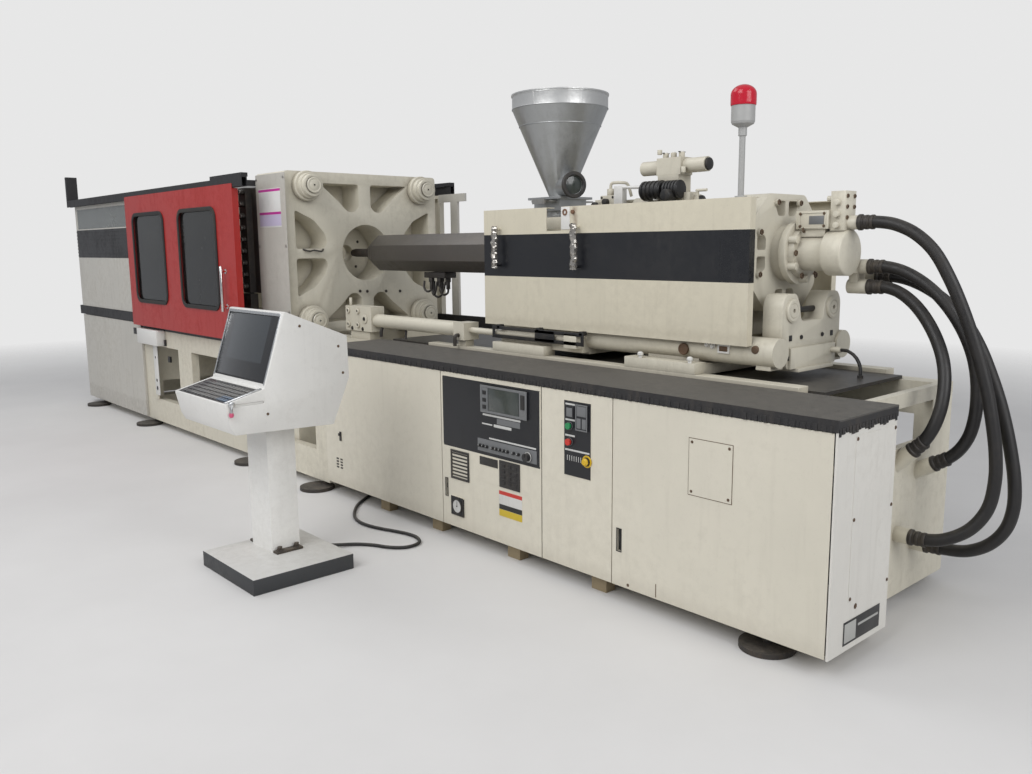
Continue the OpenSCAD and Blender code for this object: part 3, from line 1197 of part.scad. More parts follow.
yoke_route = [[-551.7, 160, 1060], [-534, 160, 1060], [-520, 158, 1059], [-508, 155, 1055], [-497, 153, 1050],
    [-487, 151, 1045], [-478, 149, 1038], [-469, 147, 1031], [-462, 145, 1022], [-455, 143, 1013],
    [-450, 141, 1003], [-446, 140, 993], [-443, 138, 982], [-441, 136, 971], [-440, 134, 957]];

module hose_upper() color(black) hose(upper_route, hose_r);
module hose_middle() color(black) hose(middle_route, hose_r);
module hose_lower() color(black) hose(lower_route, hose_r);
module hose_outer() color(black) hose(outer_route, hose_r);
module stand_cable() color(black) hose(stand_route, 9);
module yoke_cable() color(black) hose(yoke_route, 8);

bed_frame();
bed_plate();
guide_rails();
cabinet_carcass();
end_panel();
top_mat();
operator_panel();
stationary_platen();
tie_bars();
tie_bar_nuts();
clamp_cylinder();
side_guards();
lower_panels();
door_rails();
water_manifold();
levelling_feet();
oil_tank();
pump_set();
traverse_cylinder();
switch_gear();
stand_column();
console_housing();
console_panels();
hose_upper();
hose_middle();
hose_lower();
hose_outer();
stand_cable();
yoke_cable();
carriage_base();
base_tubes();
yoke();
barrel_housing();
barrel();
heater_bands();
nozzle();
barrel_shroud();
hopper();
hopper_gate();
unit_cover();
injection_cylinder();
drive_motor();
drive_shaft();
valve_blocks();
beacon();
beacon_lamp();
injection_piston();
screw();
moving_platen();
clamp_ram();
ejector();
safety_door();
door_windows();
rear_door();
left_door();
control_door();
main_door();
start_button();
stop_button();
selector_knob();
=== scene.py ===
"""Dresses the injection moulding machine: finishes, softened castings, fittings, hoses, studio and camera."""
import json
import logging
import math
from dataclasses import dataclass
from enum import Enum
from typing import Optional, Sequence

import bmesh
import bpy
from mathutils import Matrix, Vector, noise
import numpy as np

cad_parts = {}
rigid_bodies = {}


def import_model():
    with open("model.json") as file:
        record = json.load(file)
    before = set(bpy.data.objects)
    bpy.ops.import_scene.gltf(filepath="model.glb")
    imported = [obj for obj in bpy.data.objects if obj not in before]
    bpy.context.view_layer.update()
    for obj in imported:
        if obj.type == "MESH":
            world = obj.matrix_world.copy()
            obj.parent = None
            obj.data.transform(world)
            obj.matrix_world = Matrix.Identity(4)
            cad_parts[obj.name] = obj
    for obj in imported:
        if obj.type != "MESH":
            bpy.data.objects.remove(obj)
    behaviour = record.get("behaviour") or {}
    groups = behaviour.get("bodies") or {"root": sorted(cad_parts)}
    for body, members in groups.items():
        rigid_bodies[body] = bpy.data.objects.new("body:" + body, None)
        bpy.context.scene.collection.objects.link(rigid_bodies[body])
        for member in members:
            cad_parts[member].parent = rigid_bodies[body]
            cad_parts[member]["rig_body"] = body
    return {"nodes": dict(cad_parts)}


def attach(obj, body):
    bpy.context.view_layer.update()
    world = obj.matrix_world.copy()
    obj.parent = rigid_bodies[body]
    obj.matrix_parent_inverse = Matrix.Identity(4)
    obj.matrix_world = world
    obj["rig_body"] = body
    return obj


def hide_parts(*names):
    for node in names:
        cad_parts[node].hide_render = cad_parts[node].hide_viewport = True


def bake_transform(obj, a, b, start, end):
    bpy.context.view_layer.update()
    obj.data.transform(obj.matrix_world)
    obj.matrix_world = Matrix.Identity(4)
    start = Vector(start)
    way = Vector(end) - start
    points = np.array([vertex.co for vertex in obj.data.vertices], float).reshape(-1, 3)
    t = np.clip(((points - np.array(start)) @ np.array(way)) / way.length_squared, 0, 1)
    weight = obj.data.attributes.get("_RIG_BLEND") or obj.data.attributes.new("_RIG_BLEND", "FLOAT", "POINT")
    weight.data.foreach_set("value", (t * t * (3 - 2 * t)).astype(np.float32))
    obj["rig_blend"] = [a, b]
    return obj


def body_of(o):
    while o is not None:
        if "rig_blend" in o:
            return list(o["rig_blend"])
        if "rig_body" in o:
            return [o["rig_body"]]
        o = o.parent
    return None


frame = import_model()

LOG = logging.getLogger("machine")
Point = tuple[float, float, float]
Pair = tuple[float, float]
Area = tuple[float, float, float, float]  # x from, x to, z from, z to
Color = tuple[float, float, float]
Socket = bpy.types.NodeSocket
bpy.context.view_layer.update()  # updated before anything is added

X_END = 4.160  # the machine's end at the hoses
Y_C = 0.565  # the machine's middle plane
AXIS_Z = 1.505  # the height of the screw's axis
X_PLAT = -0.110  # the fixed platen's face at the injection unit
PANEL_Y = -0.305  # the front of the cabinets' doors
PRINT_EDGE = 0.0003  # the rounded edge of thin labels and marks
ROD_STEEPER = 50.0  # degrees, above those between a rod's own sides


class Body(Enum):
    """The moving bodies that new pieces ride on."""

    MACHINE = "machine"
    CARRIAGE = "carriage"
    SAFETY_DOOR = "safety_door"
    LEFT_DOOR = "left_door"
    CONTROL_DOOR = "control_door"
    MAIN_DOOR = "main_door"


class Axis(Enum):
    """The direction that a turned or extruded shape follows."""

    X = "X"
    Y = "Y"
    Z = "Z"

    def turn(self) -> Matrix:
        """Works out the turn that takes +Z to this axis.

        Returns:
            The turn.
        """
        if self is Axis.X:
            return Matrix.Rotation(math.pi / 2, 4, "Y")
        if self is Axis.Y:
            return Matrix.Rotation(-math.pi / 2, 4, "X")
        return Matrix.Identity(4)

    def moved(self, point: Point, length: float) -> Point:
        """Returns a point moved along this axis."""
        return tuple(c + length if axis is self else c for c, axis in zip(point, Axis))

    def step(self, length: float) -> Vector:
        """Returns a step along this axis."""
        return Vector(self.moved((0.0, 0.0, 0.0), length))


class Net:
    """Writes the nodes of one material or shared group."""

    def __init__(self, tree: bpy.types.NodeTree) -> None:
        """Starts on an empty tree."""
        self.tree = tree

    def feed(self, socket: Socket, value: object) -> None:
        """Links a socket, or sets its value.

        Args:
            socket: the input to fill.
            value: an output socket, or a plain value.
        """
        if isinstance(value, bpy.types.NodeSocket):
            self.tree.links.new(value, socket)
        else:
            socket.default_value = value

    def add(self, kind: str, inputs: Optional[dict] = None, **settings: object) -> bpy.types.Node:
        """Adds a node.

        Args:
            kind: Blender's name of the node.
            inputs: input names or numbers with their values or sources.
            settings: attributes of the node.

        Returns:
            The node.
        """
        node = self.tree.nodes.new(kind)
        for key, value in settings.items():
            setattr(node, key, value)
        for key, value in (inputs or {}).items():
            self.feed(node.inputs[key], value)
        return node

    def math(self, operation: str, a: object, b: object = 0.0, clamp: bool = False) -> Socket:
        """Returns the result of a Math node."""
        return self.add("ShaderNodeMath", {0: a, 1: b}, operation=operation, use_clamp=clamp).outputs[0]

    def ramp(self, value: object, low: float, high: float, first: float = 0.0, last: float = 1.0) -> Socket:
        """Returns value moved from low..high to first..last, clamped."""
        ends = {"Value": value, "From Min": low, "From Max": high, "To Min": first, "To Max": last}
        return self.add("ShaderNodeMapRange", ends).outputs["Result"]

    def mix(self, share: object, a: object, b: object) -> Socket:
        """Returns colour a turned into colour b by a share."""
        a, b = (c if isinstance(c, bpy.types.NodeSocket) else (*c, 1.0) for c in (a, b))
        return self.add("ShaderNodeMix", {0: share, 6: a, 7: b}, data_type="RGBA").outputs[2]

    def noise(self, vector: Socket, scale: object, detail: float = 5.0, rough: float = 0.6) -> Socket:
        """Returns the value of a noise texture."""
        inputs = {"Vector": vector, "Scale": scale, "Detail": detail, "Roughness": rough}
        return self.add("ShaderNodeTexNoise", inputs).outputs[0]

    def place(self) -> Socket:
        """Returns the place on the piece, in metres."""
        return self.add("ShaderNodeTexCoord").outputs["Object"]


def shared_group(name: str, takes: Sequence[tuple], gives: Sequence[tuple]) -> tuple:
    """Starts a node group.

    Args:
        name: the group's name.
        takes: names and kinds of its inputs.
        gives: names and kinds of its outputs.

    Returns:
        Its Net, its input node and its output node.
    """
    tree = bpy.data.node_groups.new(name, "ShaderNodeTree")
    for label, kind in takes:
        tree.interface.new_socket(label, in_out="INPUT", socket_type=f"NodeSocket{kind}")
    for label, kind in gives:
        tree.interface.new_socket(label, in_out="OUTPUT", socket_type=f"NodeSocket{kind}")
    net = Net(tree)
    return net, net.add("NodeGroupInput"), net.add("NodeGroupOutput")


def zone_group() -> bpy.types.NodeTree:
    """Makes the group that masks a box of the piece, for fields of colour.

    Returns:
        The group's tree.
    """
    takes = [("Low", "Vector"), ("High", "Vector"), ("Soft", "Float"), ("Ragged", "Float")]
    net, take, give = shared_group("field_mask", takes, [("Mask", "Float")])
    shift = net.add("ShaderNodeTexNoise", {"Vector": net.place(), "Scale": 22.0, "Detail": 5.0}).outputs[1]
    shift = net.add("ShaderNodeVectorMath", {0: shift, 1: (0.5, 0.5, 0.5)}, operation="SUBTRACT").outputs[0]
    ragged = {0: shift, "Scale": take.outputs["Ragged"]}
    shift = net.add("ShaderNodeVectorMath", ragged, operation="SCALE").outputs[0]
    place = net.add("ShaderNodeVectorMath", {0: net.place(), 1: shift}).outputs[0]
    above = net.add("ShaderNodeVectorMath", {0: place, 1: take.outputs["Low"]}, operation="SUBTRACT")
    below = net.add("ShaderNodeVectorMath", {0: take.outputs["High"], 1: place}, operation="SUBTRACT")
    least = net.add("ShaderNodeVectorMath", {0: above.outputs[0], 1: below.outputs[0]}, operation="MINIMUM")
    parts = net.add("ShaderNodeSeparateXYZ", {0: least.outputs[0]}).outputs
    inside = net.math("MINIMUM", net.math("MINIMUM", parts[0], parts[1]), parts[2])
    net.feed(give.inputs["Mask"], net.ramp(inside, 0.0, take.outputs["Soft"]))
    return net.tree


def soil_group() -> bpy.types.NodeTree:
    """Makes the group that gives a surface its stains, runs, specks, tone and dust.

    Returns:
        The group's tree.
    """
    takes = [("Scale", "Float"), ("Runs", "Float")]
    net, take, give = shared_group("soil", takes, [("Stain", "Float"), ("Tone", "Float"), ("Dust", "Float")])
    place = net.place()
    broad = net.noise(place, take.outputs["Scale"], 6.0, 0.62)
    fine = net.noise(place, 24.0, 8.0, 0.7)
    speck = net.ramp(net.noise(place, 130.0, 2.0), 0.66, 0.72)
    long = net.add("ShaderNodeMapping", {"Vector": place, "Scale": (9.0, 9.0, 0.7)}).outputs[0]
    run = net.ramp(net.noise(long, 3.0, 4.0), 0.54, 0.74)
    up = net.add("ShaderNodeSeparateXYZ", {0: net.add("ShaderNodeNewGeometry").outputs["Normal"]}).outputs[2]
    wall = net.ramp(net.math("ABSOLUTE", up), 0.3, 0.7, 1.0, 0.0)
    runs = net.math("MULTIPLY", net.math("MULTIPLY", run, wall), take.outputs["Runs"])
    both = net.math("MULTIPLY_ADD", fine, 0.45)
    net.feed(both.node.inputs[2], net.math("MULTIPLY", broad, 0.55))
    blotch = net.ramp(both, 0.50, 0.70)
    stain = net.math("ADD", net.math("ADD", blotch, runs), net.math("MULTIPLY", speck, 0.5), clamp=True)
    net.feed(give.inputs["Stain"], stain)
    net.feed(give.inputs["Tone"], broad)
    net.feed(give.inputs["Dust"], net.math("MULTIPLY", net.ramp(up, 0.5, 0.95), net.ramp(fine, 0.3, 0.65)))
    return net.tree


def relief_group() -> bpy.types.NodeTree:
    """Makes the group that bends the normal with grain, stretched along an axis where it is brushed.

    Returns:
        The group's tree.
    """
    takes = [("Stretch", "Vector"), ("Depth", "Float")]
    net, take, give = shared_group("relief", takes, [("Normal", "Vector")])
    stretched = {0: net.place(), 1: take.outputs["Stretch"]}
    place = net.add("ShaderNodeVectorMath", stretched, operation="MULTIPLY")
    height = net.noise(place.outputs[0], 1.0, 4.0, 0.55)
    bump = net.add("ShaderNodeBump", {"Height": height, "Distance": take.outputs["Depth"]})
    net.feed(give.inputs["Normal"], bump.outputs[0])
    return net.tree


DIMMED = 0.90  # the darker of a paint's two tones
WORN_ROUGH = 0.25  # how much rougher a stain is
DUST_COLOR = (0.36, 0.33, 0.28)
ZONE = zone_group()
SOIL = soil_group()
RELIEF = relief_group()


@dataclass(frozen=True)
class Field:
    """A field of another colour, inside a box of the piece."""

    low: Point
    high: Point
    color: Color
    rough: float = 0.5
    soft: float = 0.0006
    ragged: float = 0.0
    share: float = 1.0


@dataclass(frozen=True)
class Finish:
    """A paint, metal, rubber, plastic or glass with its wear, and with painted shade in its corners where
    corners is set.
    """

    name: str
    slot: str
    color: Color
    rough: float = 0.45
    metal: float = 0.0
    soil: Color = (0.16, 0.13, 0.09)
    soiled: float = 0.3
    scale: float = 1.6
    runs: float = 0.5
    dust: float = 0.2
    stretch: Point = (420.0, 420.0, 420.0)
    depth: float = 0.0002
    clear: float = 0.0
    coat: float = 0.0
    glow: float = 0.0
    # corners: strength of the painted shade, partly crevice dirt, that darkens corners and crevices
    corners: float = 0.0
    fields: tuple[Field, ...] = ()

    def material(self) -> bpy.types.Material:
        """Makes the finish's node material, once.

        Returns:
            The material.
        """
        made = bpy.data.materials.get(self.name)
        if made:
            return made
        made = bpy.data.materials.new(self.name)
        made.use_nodes = True
        made.node_tree.nodes.clear()
        net = Net(made.node_tree)
        soil = net.add("ShaderNodeGroup", node_tree=SOIL)
        soil.inputs["Scale"].default_value = self.scale
        soil.inputs["Runs"].default_value = self.runs
        stain, tone, dust = (soil.outputs[k] for k in ("Stain", "Tone", "Dust"))
        dim = tuple(c * DIMMED for c in self.color)
        color = net.mix(net.ramp(tone, 0.35, 0.65), dim, self.color)
        rough = net.ramp(stain, 0.0, 1.0, self.rough, min(1.0, self.rough + WORN_ROUGH))
        color = net.mix(net.math("MULTIPLY", stain, self.soiled), color, self.soil)
        for field in self.fields:
            box = net.add("ShaderNodeGroup", {"Low": field.low, "High": field.high, "Soft": field.soft,
                                              "Ragged": field.ragged}, node_tree=ZONE)
            mask = net.math("MULTIPLY", box.outputs["Mask"], field.share)
            color = net.mix(mask, color, field.color)
            away = net.ramp(mask, 0.0, 1.0, 0.0, field.rough - self.rough)
            rough = net.math("ADD", rough, away, clamp=True)
        if self.fields:
            color = net.mix(net.math("MULTIPLY", stain, self.soiled * 0.2), color, self.soil)
        color = net.mix(net.math("MULTIPLY", dust, self.dust), color, DUST_COLOR)
        # Painted shade: ambient occlusion darkens corners and crevices towards the soil colour, partly
        # standing for dirt there.
        if self.corners:
            shade = net.add("ShaderNodeAmbientOcclusion", {"Distance": 0.05}, samples=4).outputs["AO"]
            crevice_shade_and_dirt = net.ramp(shade, 0.35, 0.95, self.corners, 0.0)
            color = net.mix(crevice_shade_and_dirt, color, self.soil)
        grain = net.add("ShaderNodeGroup", {"Stretch": self.stretch, "Depth": self.depth}, node_tree=RELIEF)
        inputs = {"Base Color": color, "Roughness": rough, "Normal": grain.outputs["Normal"]}
        face = net.add("ShaderNodeBsdfPrincipled", inputs)
        face.inputs["Metallic"].default_value = self.metal
        face.inputs["Transmission Weight"].default_value = self.clear
        face.inputs["Coat Weight"].default_value = self.coat
        if self.glow:
            face.inputs["Emission Color"].default_value = (*self.color, 1.0)
            face.inputs["Emission Strength"].default_value = self.glow
        net.add("ShaderNodeOutputMaterial", {0: face.outputs[0]})
        return made


BLACK = (0.012, 0.013, 0.016)
RUST = (0.15, 0.065, 0.03)
# The castings get painted shade in their corners and crevices (corners=0.5), partly standing for dirt.
CREAM = Finish("cream_casting", "cream_paint", (0.68, 0.64, 0.53), 0.42, soiled=0.26, runs=0.35, dust=0.15,
               corners=0.5, stretch=(160.0, 160.0, 160.0), depth=0.0006)
COVER = Finish("cream_cover", "cream_paint", (0.68, 0.63, 0.50), 0.35, soiled=0.14, runs=0.5, dust=0.1,
               fields=(Field((1.60, -1.0, 1.380), (3.60, 0.30, 1.608), BLACK, 0.30),
                       Field((3.30, -1.0, 1.380), (3.60, 0.42, 1.608), BLACK, 0.30),
                       Field((2.395, -1.0, 1.44), (2.440, 0.25, 1.75), RUST, 0.7, 0.030, 0.05, 0.7),
                       Field((1.60, -1.0, 1.10), (3.60, 0.30, 1.17), (0.20, 0.15, 0.09), 0.6,
                             0.06, 0.08, 0.25)))
# Darker and browner towards the bottom: a ragged band that fades out 0.15 m above the floor.
LOW_DARK_BAND = Field((-9.0, -9.0, -1.0), (9.0, 9.0, 0.15), (0.25, 0.21, 0.15), 0.6, 0.10, 0.07, 0.22)
CABINET = Finish("cabinet_cream", "cabinet_paint", (0.70, 0.66, 0.555), 0.34, soiled=0.12, runs=0.4,
                 dust=0.1, scale=1.1, fields=(LOW_DARK_BAND,))
CONTROL = Finish("control_cream", "cabinet_paint", (0.70, 0.66, 0.555), 0.34, soiled=0.12, runs=0.4,
                 dust=0.1, scale=1.1,
                 fields=(LOW_DARK_BAND, Field((1.940, -0.33, 0.510), (2.680, -0.30, 0.881), BLACK, 0.32),
                         Field((2.842, -0.33, 0.518), (3.007, -0.30, 0.862), BLACK, 0.32),
                         Field((2.006, -0.33, 0.144), (2.110, -0.3055, 0.242), BLACK, 0.35)))
# The end panel wears the cabinets' paint made paler and whiter: painted daylight falling on that end.
DAYLIT_END = Finish("cabinet_paint_daylit", "cabinet_paint", (0.72, 0.70, 0.65), 0.34, soiled=0.16, runs=0.5, dust=0.1,
             scale=1.1)
SIDE = Finish("side_panel_paint", "cabinet_paint", (0.55, 0.53, 0.48), 0.36, soiled=0.18, runs=0.4, dust=0.1,
              fields=(Field((-4.06, -0.32, 1.468), (-2.44, -0.295, 1.735), (0.02, 0.02, 0.022), 0.4),
                      Field((-4.3, -0.32, 0.05), (-2.3, -0.28, 0.20), (0.14, 0.11, 0.08), 0.6,
                            0.07, 0.08, 0.6)))
WHITE = Finish("console_white", "cabinet_paint", (0.76, 0.75, 0.72), 0.35, soiled=0.14, runs=0.3, dust=0.1,
               fields=(Field((1.2, -1.6, -1.0), (2.2, -0.8, 0.0751), (0.035, 0.037, 0.040), 0.5),))
BLACK_PLATE = Finish("oily_black_plate", "black_plate", (0.030, 0.028, 0.027), 0.42, soiled=0.5,
                     soil=(0.10, 0.07, 0.04), dust=0.15, depth=0.001, stretch=(60.0, 60.0, 60.0))
MAT = Finish("mat_rubber", "ribbed_mat", (0.020, 0.019, 0.020), 0.55, soiled=0.35, soil=(0.12, 0.10, 0.08),
             dust=0.15, stretch=(700.0, 20.0, 20.0), depth=0.0015,
             fields=(Field((-1.0, -0.30, 0.9435), (5.0, 0.20, 1.0), (0.085, 0.080, 0.072), 0.6,
                           0.0015, 0.004, 0.9),))
BAR_STEEL = Finish("bright_bar", "bar_steel", (0.50, 0.49, 0.46), 0.28, 1.0, soil=(0.14, 0.10, 0.06),
                   soiled=0.45, stretch=(20.0, 600.0, 600.0))
RAIL = Finish("dark_rail", "rail_steel", (0.016, 0.016, 0.018), 0.48, soiled=0.25, soil=(0.05, 0.04, 0.035),
              dust=0.1)
FITTINGS = Finish("dark_fitting", "dark_fittings", (0.05, 0.045, 0.042), 0.45, 0.4, soiled=0.5)
IRON = Finish("floor_iron", "dark_iron", (0.045, 0.040, 0.035), 0.6, 0.2, soiled=0.6, soil=(0.14, 0.10, 0.07),
              dust=0.2, stretch=(70.0, 70.0, 70.0), depth=0.002,
              fields=tuple(Field((x - 0.12, -9.0, -1.0), (x + 0.12, 9.0, 0.0751), (0.30, 0.24, 0.15), 0.8)
                           for x in (1.297, 1.812, 2.443, 3.021)))
TANK = Finish("tank_grey", "tank_paint", (0.34, 0.35, 0.34), 0.4)
PUMP = Finish("pump_blue_grey", "pump_paint", (0.13, 0.20, 0.22), 0.4)
DEVICE = Finish("device_grey", "device_plastic", (0.16, 0.165, 0.17), 0.5, soiled=0.15)
SCREEN = Finish("screen_black", "screen_plastic", (0.010, 0.010, 0.012), 0.26, soiled=0.1, dust=0.1)
HOSE = Finish("hose_rubber_black", "hose_rubber", (0.012, 0.011, 0.011), 0.40, soiled=0.3,
              soil=(0.05, 0.04, 0.03), dust=0.15, depth=0.0005)
CABLE = Finish("cable_rubber_black", "cable_rubber", (0.016, 0.015, 0.015), 0.5, soiled=0.3,
               soil=(0.08, 0.07, 0.06), dust=0.2)
BAND_STEEL = Finish("heater_steel", "band_steel", (0.40, 0.34, 0.26), 0.35, 1.0, soiled=0.5)
SHROUD = Finish("shroud_dark", "shroud_paint", (0.115, 0.105, 0.095), 0.38, 0.5, soiled=0.35,
                soil=(0.12, 0.10, 0.07), runs=0.2, dust=0.2, stretch=(18.0, 300.0, 300.0), depth=0.0008)
HOPPER = Finish("galvanised", "hopper_steel", (0.44, 0.45, 0.45), 0.36, 0.85, soiled=0.28,
                soil=(0.24, 0.23, 0.21), scale=5.0, runs=0.5, dust=0.1, stretch=(45.0, 45.0, 30.0),
                depth=0.0012,
                fields=(Field((1.0, -1.0, 2.300), (3.0, 2.0, 2.5), (0.66, 0.66, 0.65), 0.4,
                              0.002, 0.0, 0.8),))
BEACON = Finish("beacon_grey", "beacon_base", (0.40, 0.40, 0.39), 0.4)
LENS = Finish("beacon_red", "beacon_lens", (0.62, 0.012, 0.035), 0.12, soiled=0.1, clear=0.35, glow=0.10)
CHROME = Finish("chrome", "chrome_rod", (0.66, 0.66, 0.65), 0.12, 1.0, soiled=0.15, soil=(0.2, 0.17, 0.13))
RED = Finish("door_enamel", "door_red", (0.40, 0.022, 0.018), 0.33, soiled=0.22, soil=(0.10, 0.02, 0.015),
             runs=0.5, dust=0.1)
# The near-black tint of the door windows is partly the glass's own and partly painted shade of the dim space
# behind them.
TINT_AND_SHADE_GLASS = Finish("window_tint_and_shade", "window_glass", (0.05, 0.055, 0.055), 0.06, soiled=0.12, soil=(0.1, 0.1, 0.09),
               dust=0.1, clear=0.85, depth=0.00002)
GREEN = Finish("green_cap", "button_green", (0.02, 0.26, 0.09), 0.3)
RED_CAP = Finish("red_cap", "button_red", (0.60, 0.03, 0.02), 0.3)
KNOB = Finish("knob_black", "knob_plastic", (0.025, 0.025, 0.026), 0.35)
RUBBER = Finish("gasket_rubber", "hose_rubber", (0.014, 0.014, 0.014), 0.55, soiled=0.2, dust=0.1)
CLEAR = Finish("clear_strip_plastic", "window_glass", (0.30, 0.32, 0.31), 0.14, soiled=0.2, clear=0.5,
               dust=0.1)
BLACK_PLASTIC = Finish("black_plastic", "knob_plastic", (0.016, 0.016, 0.017), 0.42, soiled=0.25, dust=0.1)
DARK_PLASTIC = Finish("dark_plate", "knob_plastic", (0.030, 0.028, 0.027), 0.45, soiled=0.35)
GREY_PLASTIC = Finish("grey_plastic", "device_plastic", (0.17, 0.175, 0.18), 0.4, soiled=0.15)
STEEL = Finish("plated_steel", "chrome_rod", (0.55, 0.54, 0.51), 0.3, 1.0, soiled=0.4,
               soil=(0.15, 0.11, 0.07))
BROWN = Finish("rusty_screw", "dark_fittings", (0.16, 0.11, 0.075), 0.5, 0.6, soiled=0.6, soil=RUST)
RUSTY = Finish("rusty_tap", "dark_fittings", (0.24, 0.14, 0.09), 0.6, 0.4, soiled=0.7, soil=RUST)
FILM = Finish("crumpled_film", "", (0.42, 0.40, 0.37), 0.16, 0.75, soiled=0.6, soil=(0.07, 0.05, 0.035),
              scale=14.0, dust=0.0)
LABEL = Finish("bare_label", "", (0.62, 0.62, 0.60), 0.5, soiled=0.2, dust=0.0)
YELLOW = Finish("yellow_collar", "", (0.70, 0.45, 0.02), 0.4, soiled=0.2)
SILVER = Finish("silver_strip", "", (0.62, 0.63, 0.64), 0.25, 0.9, soiled=0.15)
KEYS = Finish("flat_keys", "device_plastic", (0.15, 0.15, 0.15), 0.4, soiled=0.3,
              fields=(Field((1.30, -1.52, 0.80), (1.47, -1.25, 0.96), (0.07, 0.07, 0.075), 0.4),
                      Field((1.76, -1.52, 0.80), (1.92, -1.42, 0.96), (0.10, 0.14, 0.20), 0.4)))
PINK = Finish("pink_tip", "", (0.62, 0.10, 0.20), 0.35)
SCREEN_GLASS = Finish("grey_glass", "screen_plastic", (0.045, 0.055, 0.05), 0.10, coat=0.4, soiled=0.1)
CONSOLE_GLASS = Finish("console_glass", "screen_plastic", (0.015, 0.016, 0.018), 0.09, coat=0.5, soiled=0.08,
                       dust=0.1,
                       fields=(Field((1.44, -1.4, 1.02), (1.81, -1.1, 1.24), (0.035, 0.040, 0.045), 0.12),))
SHEET = Finish("header_sheet", "", (0.72, 0.72, 0.70), 0.45, soiled=0.1, dust=0.0,
               fields=(Field((-1.0, -1.0, 1.700), (0.0, 0.0, 1.779), (0.55, 0.50, 0.66), 0.45),
                       Field((-1.0, -1.0, 1.779), (0.0, 0.0, 1.797), (0.48, 0.03, 0.28), 0.45),
                       Field((-1.0, -1.0, 1.938), (0.0, 0.0, 1.956), (0.48, 0.03, 0.28), 0.45)))
STICKER = Finish("door_sticker", "", (0.66, 0.65, 0.62), 0.45, soiled=0.3, dust=0.0,
                 fields=(Field((2.38, -1.0, 0.330), (2.60, 0.0, 0.36), (0.50, 0.04, 0.03), 0.45),
                         Field((2.38, -1.0, 0.215), (2.60, 0.0, 0.255), (0.62, 0.45, 0.03), 0.45),
                         Field((2.38, -1.0, 0.255), (2.60, 0.0, 0.281), (0.02, 0.02, 0.02), 0.45)))
END_PLATE = Finish("end_plate_black", "", (0.016, 0.016, 0.018), 0.4, soiled=0.2,
                   fields=(Field((4.0, -0.195, 0.108), (4.2, -0.110, 0.182), (0.40, 0.40, 0.38), 0.5),
                           Field((4.0, -0.095, 0.150), (4.2, 0.060, 0.160), (0.40, 0.40, 0.38), 0.5)))

NODE_FINISH = {
    CREAM: "bed_frame guide_rails stationary_platen tie_bar_nuts clamp_cylinder traverse_cylinder "
           "carriage_base base_tubes yoke barrel_housing injection_cylinder drive_motor valve_blocks "
           "moving_platen",
    COVER: "unit_cover", CABINET: "cabinet_carcass rear_door left_door main_door",
    CONTROL: "operator_panel control_door",
    DAYLIT_END: "end_panel", SIDE: "side_guards lower_panels", WHITE: "stand_column console_housing",
    BLACK_PLATE: "bed_plate", MAT: "top_mat",
    BAR_STEEL: "tie_bars barrel hopper_gate drive_shaft screw ejector",
    RAIL: "door_rails", FITTINGS: "water_manifold", IRON: "levelling_feet nozzle", TANK: "oil_tank",
    PUMP: "pump_set", DEVICE: "switch_gear", SCREEN: "console_panels", BAND_STEEL: "heater_bands",
    SHROUD: "barrel_shroud", HOPPER: "hopper", BEACON: "beacon", LENS: "beacon_lamp",
    CHROME: "injection_piston clamp_ram", RED: "safety_door", TINT_AND_SHADE_GLASS: "door_windows", GREEN: "start_button",
    RED_CAP: "stop_button", KNOB: "selector_knob",
}


def rect(x0: float, x1: float, z0: float, z1: float) -> list[Pair]:
    """Returns the four corners of a rectangle."""
    return [(x0, z0), (x1, z0), (x1, z1), (x0, z1)]


def band(inner: float, outer: float, low: float, high: float) -> list[Pair]:
    """Returns the profile of a plain washer or, from the axis out, of a disc."""
    return [(inner, low), (outer, low), (outer, high), (inner, high)]


def rounded(area: Area, r: float, steps: int = 8) -> list[Pair]:
    """Works out a rectangle with round corners.

    Args:
        area: the rectangle's two ends across and two ends up.
        r: the corners' radius.
        steps: the steps round each corner.

    Returns:
        The outline's points.
    """
    x0, x1, z0, z1 = area
    outline = []
    corners = ((x1 - r, z0 + r), (x1 - r, z1 - r), (x0 + r, z1 - r), (x0 + r, z0 + r))
    for (u, v), turn in zip(corners, (-90, 0, 90, 180)):
        for k in range(steps + 1):
            a = math.radians(turn + 90 * k / steps)
            outline.append((u + r * math.cos(a), v + r * math.sin(a)))
    return outline


def smooth_line(points: Sequence[Point], steps: int) -> list[Vector]:
    """Works out a smooth line that goes through some points.

    Args:
        points: the points, in order.
        steps: the steps between each pair of points.

    Returns:
        The line's points.
    """
    p = [Vector(point) for point in points]
    fine = []
    for i in range(len(p) - 1):
        a, b, c, d = p[max(i - 1, 0)], p[i], p[i + 1], p[min(i + 2, len(p) - 1)]
        for k in range(steps):
            t = k / steps
            fine.append(0.5 * (2 * b + (c - a) * t + (2 * a - 5 * b + 4 * c - d) * t * t
                               + (3 * b - a - 3 * c + d) * t ** 3))
    return fine + [p[-1]]


def swept(line: Sequence[Vector], radius: float, sides: int) -> bpy.types.Mesh:
    """Makes a closed round tube along a line.

    Args:
        line: the points of the tube's centre.
        radius: the tube's radius.
        sides: the sides of its section.

    Returns:
        The tube's mesh.
    """
    curve = bpy.data.curves.new("line", "CURVE")
    curve.dimensions = "3D"
    curve.bevel_depth = radius
    curve.bevel_resolution = sides // 4 - 1
    curve.use_fill_caps = True
    spline = curve.splines.new("POLY")
    spline.points.add(len(line) - 1)
    for point, place in zip(spline.points, line):
        point.co = (*place, 1.0)
    carrier = bpy.data.objects.new("line", curve)
    bpy.context.scene.collection.objects.link(carrier)
    bpy.context.view_layer.update()
    mesh = bpy.data.meshes.new_from_object(carrier.evaluated_get(bpy.context.evaluated_depsgraph_get()))
    bpy.data.objects.remove(carrier)
    return mesh


